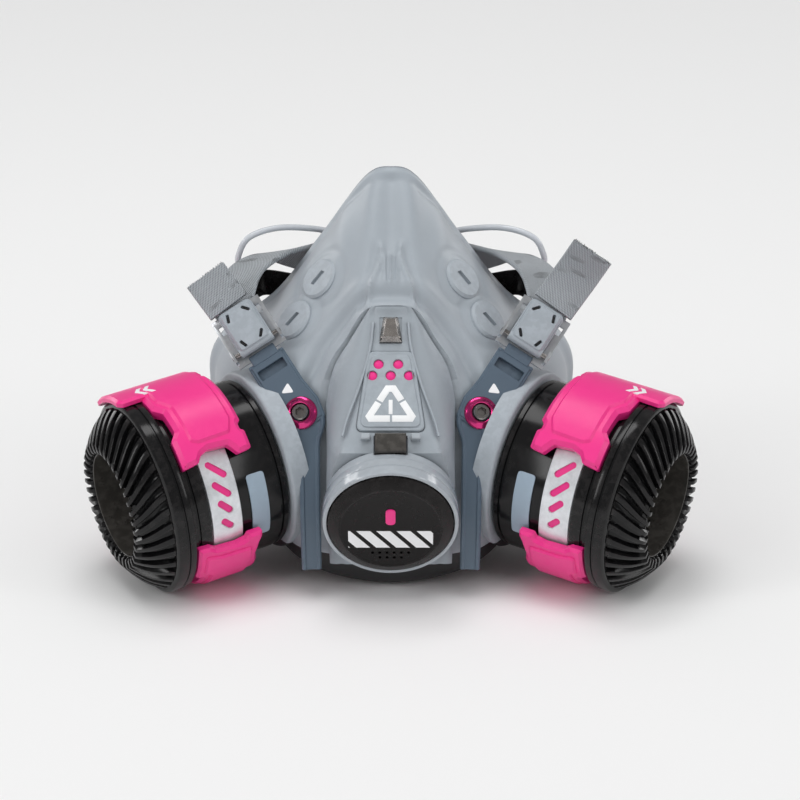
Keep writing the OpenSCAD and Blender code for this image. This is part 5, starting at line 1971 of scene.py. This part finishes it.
    def build_yoke(self) -> None:
        """The glossy stiff wire behind the nose, and black panels under the strap that are painted shade
        inside the strap loop.
        """
        half = [
            vec(49.5, 35, 87.6), vec(49.4, 34.4, 91.6), vec(46, 34.5, 97.4), vec(37, 38, 99.6),
            vec(25, 42.6, 98),
            vec(14, 45.5, 95), vec(0, 46, 93.5),
        ]
        path = smooth(half + [flip(p) for p in half[-2::-1]], 12)
        put(
            sweep(path, [vec(0.1, 0.3, 1)] * len(path), circle(1.0, 20)), "harness_yoke_made", "mask",
            "pale_tube", ["harness_yoke"], 50,
        )
        # Black panels under the strap: painted shade in the gap inside the strap loop.
        made = Shape()
        panel = smooth([vec(46.8, 35, 79.6), vec(41.6, 44.4, 79.2), vec(31, 46.6, 77)], 8)
        sides = smooth([vec(0.3, 0, 1), vec(0.2, 0, 1), vec(0.1, 0, 1)], 8)
        section = rounded([(-4.2, -0.6), (4.2, -0.6), (4.2, 0.6), (-4.2, 0.6)], 0.4, 3)
        made.join(sweep(panel, sides, section))
        made.join(made.mirrored())
        put(made, "cradle_panels_made", "mask", "black_satin", ["cradle_panels"], 40)


# ---------------------------------------------------------------- studio


@dataclass
class Studio:
    """Pale floor, soft light and the camera."""

    elevation: float = 20.0
    distance: float = 0.8
    lens: float = 113.8

    def build(self) -> None:
        """Builds the floor, the lights and the camera."""
        self.build_floor()
        self.build_lights()
        self.build_camera()

    def build_floor(self) -> None:
        """A very large pale floor."""
        mesh = bpy.data.meshes.new("floor")
        s = 12.0
        mesh.from_pydata([(-s, -s, 0), (s, -s, 0), (s, s, 0), (-s, s, 0)], [], [(0, 1, 2, 3)])
        floor = bpy.data.objects.new("floor", mesh)
        bpy.context.scene.collection.objects.link(floor)
        made = bpy.data.materials.new("pale_floor")
        made.use_nodes = True
        shader = made.node_tree.nodes["Principled BSDF"]
        shader.inputs["Base Color"].default_value = (0.885, 0.885, 0.885, 1)
        shader.inputs["Roughness"].default_value = 1.0
        shader.inputs["Specular IOR Level"].default_value = 0.0
        mesh.materials.append(made)

    def sun(self, name: str, place: tuple[float, float, float], spread: float, power: float) -> None:
        """A very soft distant light, which lights the floor evenly."""
        data = bpy.data.lights.new(name, "SUN")
        data.angle = math.radians(spread)
        data.energy = power
        made = bpy.data.objects.new(name, data)
        bpy.context.scene.collection.objects.link(made)
        made.rotation_euler = (-Vector(place)).to_track_quat("-Z", "Y").to_euler()
        made.visible_glossy = False

    def softbox(
        self, name: str, place: tuple[float, float, float], size: tuple[float, float], power: float,
        gloss: bool = False
    ) -> None:
        """A rectangular light that looks at the mask, and shows only in its gloss where asked."""
        data = bpy.data.lights.new(name, "AREA")
        data.shape = "RECTANGLE"
        data.size, data.size_y = size
        data.energy = power
        made = bpy.data.objects.new(name, data)
        bpy.context.scene.collection.objects.link(made)
        made.location = place
        made.visible_diffuse = not gloss
        look = Vector((0, 0, 0.06)) - Vector(place)
        made.rotation_euler = look.to_track_quat("-Z", "Y").to_euler()

    def build_lights(self) -> None:
        """A dim room, soft suns for the floor and softboxes for the gloss."""
        world = bpy.data.worlds.new("studio")
        bpy.context.scene.world = world
        world.use_nodes = True
        world.node_tree.nodes["Background"].inputs["Color"].default_value = (1, 1, 1, 1)
        world.node_tree.nodes["Background"].inputs["Strength"].default_value = 0.31
        self.sun("sun_top", (0.0, -0.25, 1.0), 40, 1.0)
        self.sun("sun_left", (-1.0, -0.8, 0.9), 40, 0.56)
        self.sun("sun_right", (1.0, -0.8, 0.9), 50, 0.44)
        self.softbox("box_top", (-0.1, 0.15, 1.1), (0.6, 0.25), 1.9)
        self.softbox("box_left", (-0.95, -0.55, 0.55), (0.16, 0.6), 1.5)
        self.softbox("box_right", (0.95, -0.55, 0.55), (0.16, 0.6), 1.0)
        self.softbox("rim_left", (-0.8, 0.75, 0.5), (0.5, 0.6), 3.0, True)
        self.softbox("rim_right", (0.8, 0.75, 0.5), (0.5, 0.6), 2.6, True)
        scene = bpy.context.scene
        scene.view_settings.view_transform = "Standard"
        scene.view_settings.look = "None"

    def build_camera(self) -> None:
        """The camera, in front and above."""
        e = math.radians(self.elevation)
        data = bpy.data.cameras.new("camera")
        data.lens = self.lens
        data.sensor_width = 36.0
        data.clip_start = 0.05
        camera = bpy.data.objects.new("camera", data)
        bpy.context.scene.collection.objects.link(camera)
        target = Vector((0.00285, 0.0, 0.054088))
        camera.location = target + Vector((0, -math.cos(e), math.sin(e))) * self.distance
        camera.rotation_euler = (math.radians(90 - self.elevation), 0, 0)
        bpy.context.scene.camera = camera


def dress_rest() -> None:
    """Gives every frame node that still shows its finish."""
    for name, node in frame["nodes"].items():
        slot = NODE_SLOT[name]
        node.data.materials.clear()
        node.data.materials.append(MATERIALS[slot])


def main() -> None:
    """Builds the whole mask and the studio."""
    logging.basicConfig(level=logging.INFO, format="%(message)s")
    dress_rest()
    builders = [
        FacePiece(), FrontShell(), ExhalationValve(), Cartridge(Side.LEFT), Cartridge(Side.RIGHT),
        Ports(), Harness()
    ]
    for builder in builders:
        LOG.info("building %s", type(builder).__name__)
        builder.build()
    Studio().build()
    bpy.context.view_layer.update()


if __name__ == "__main__":
    main()
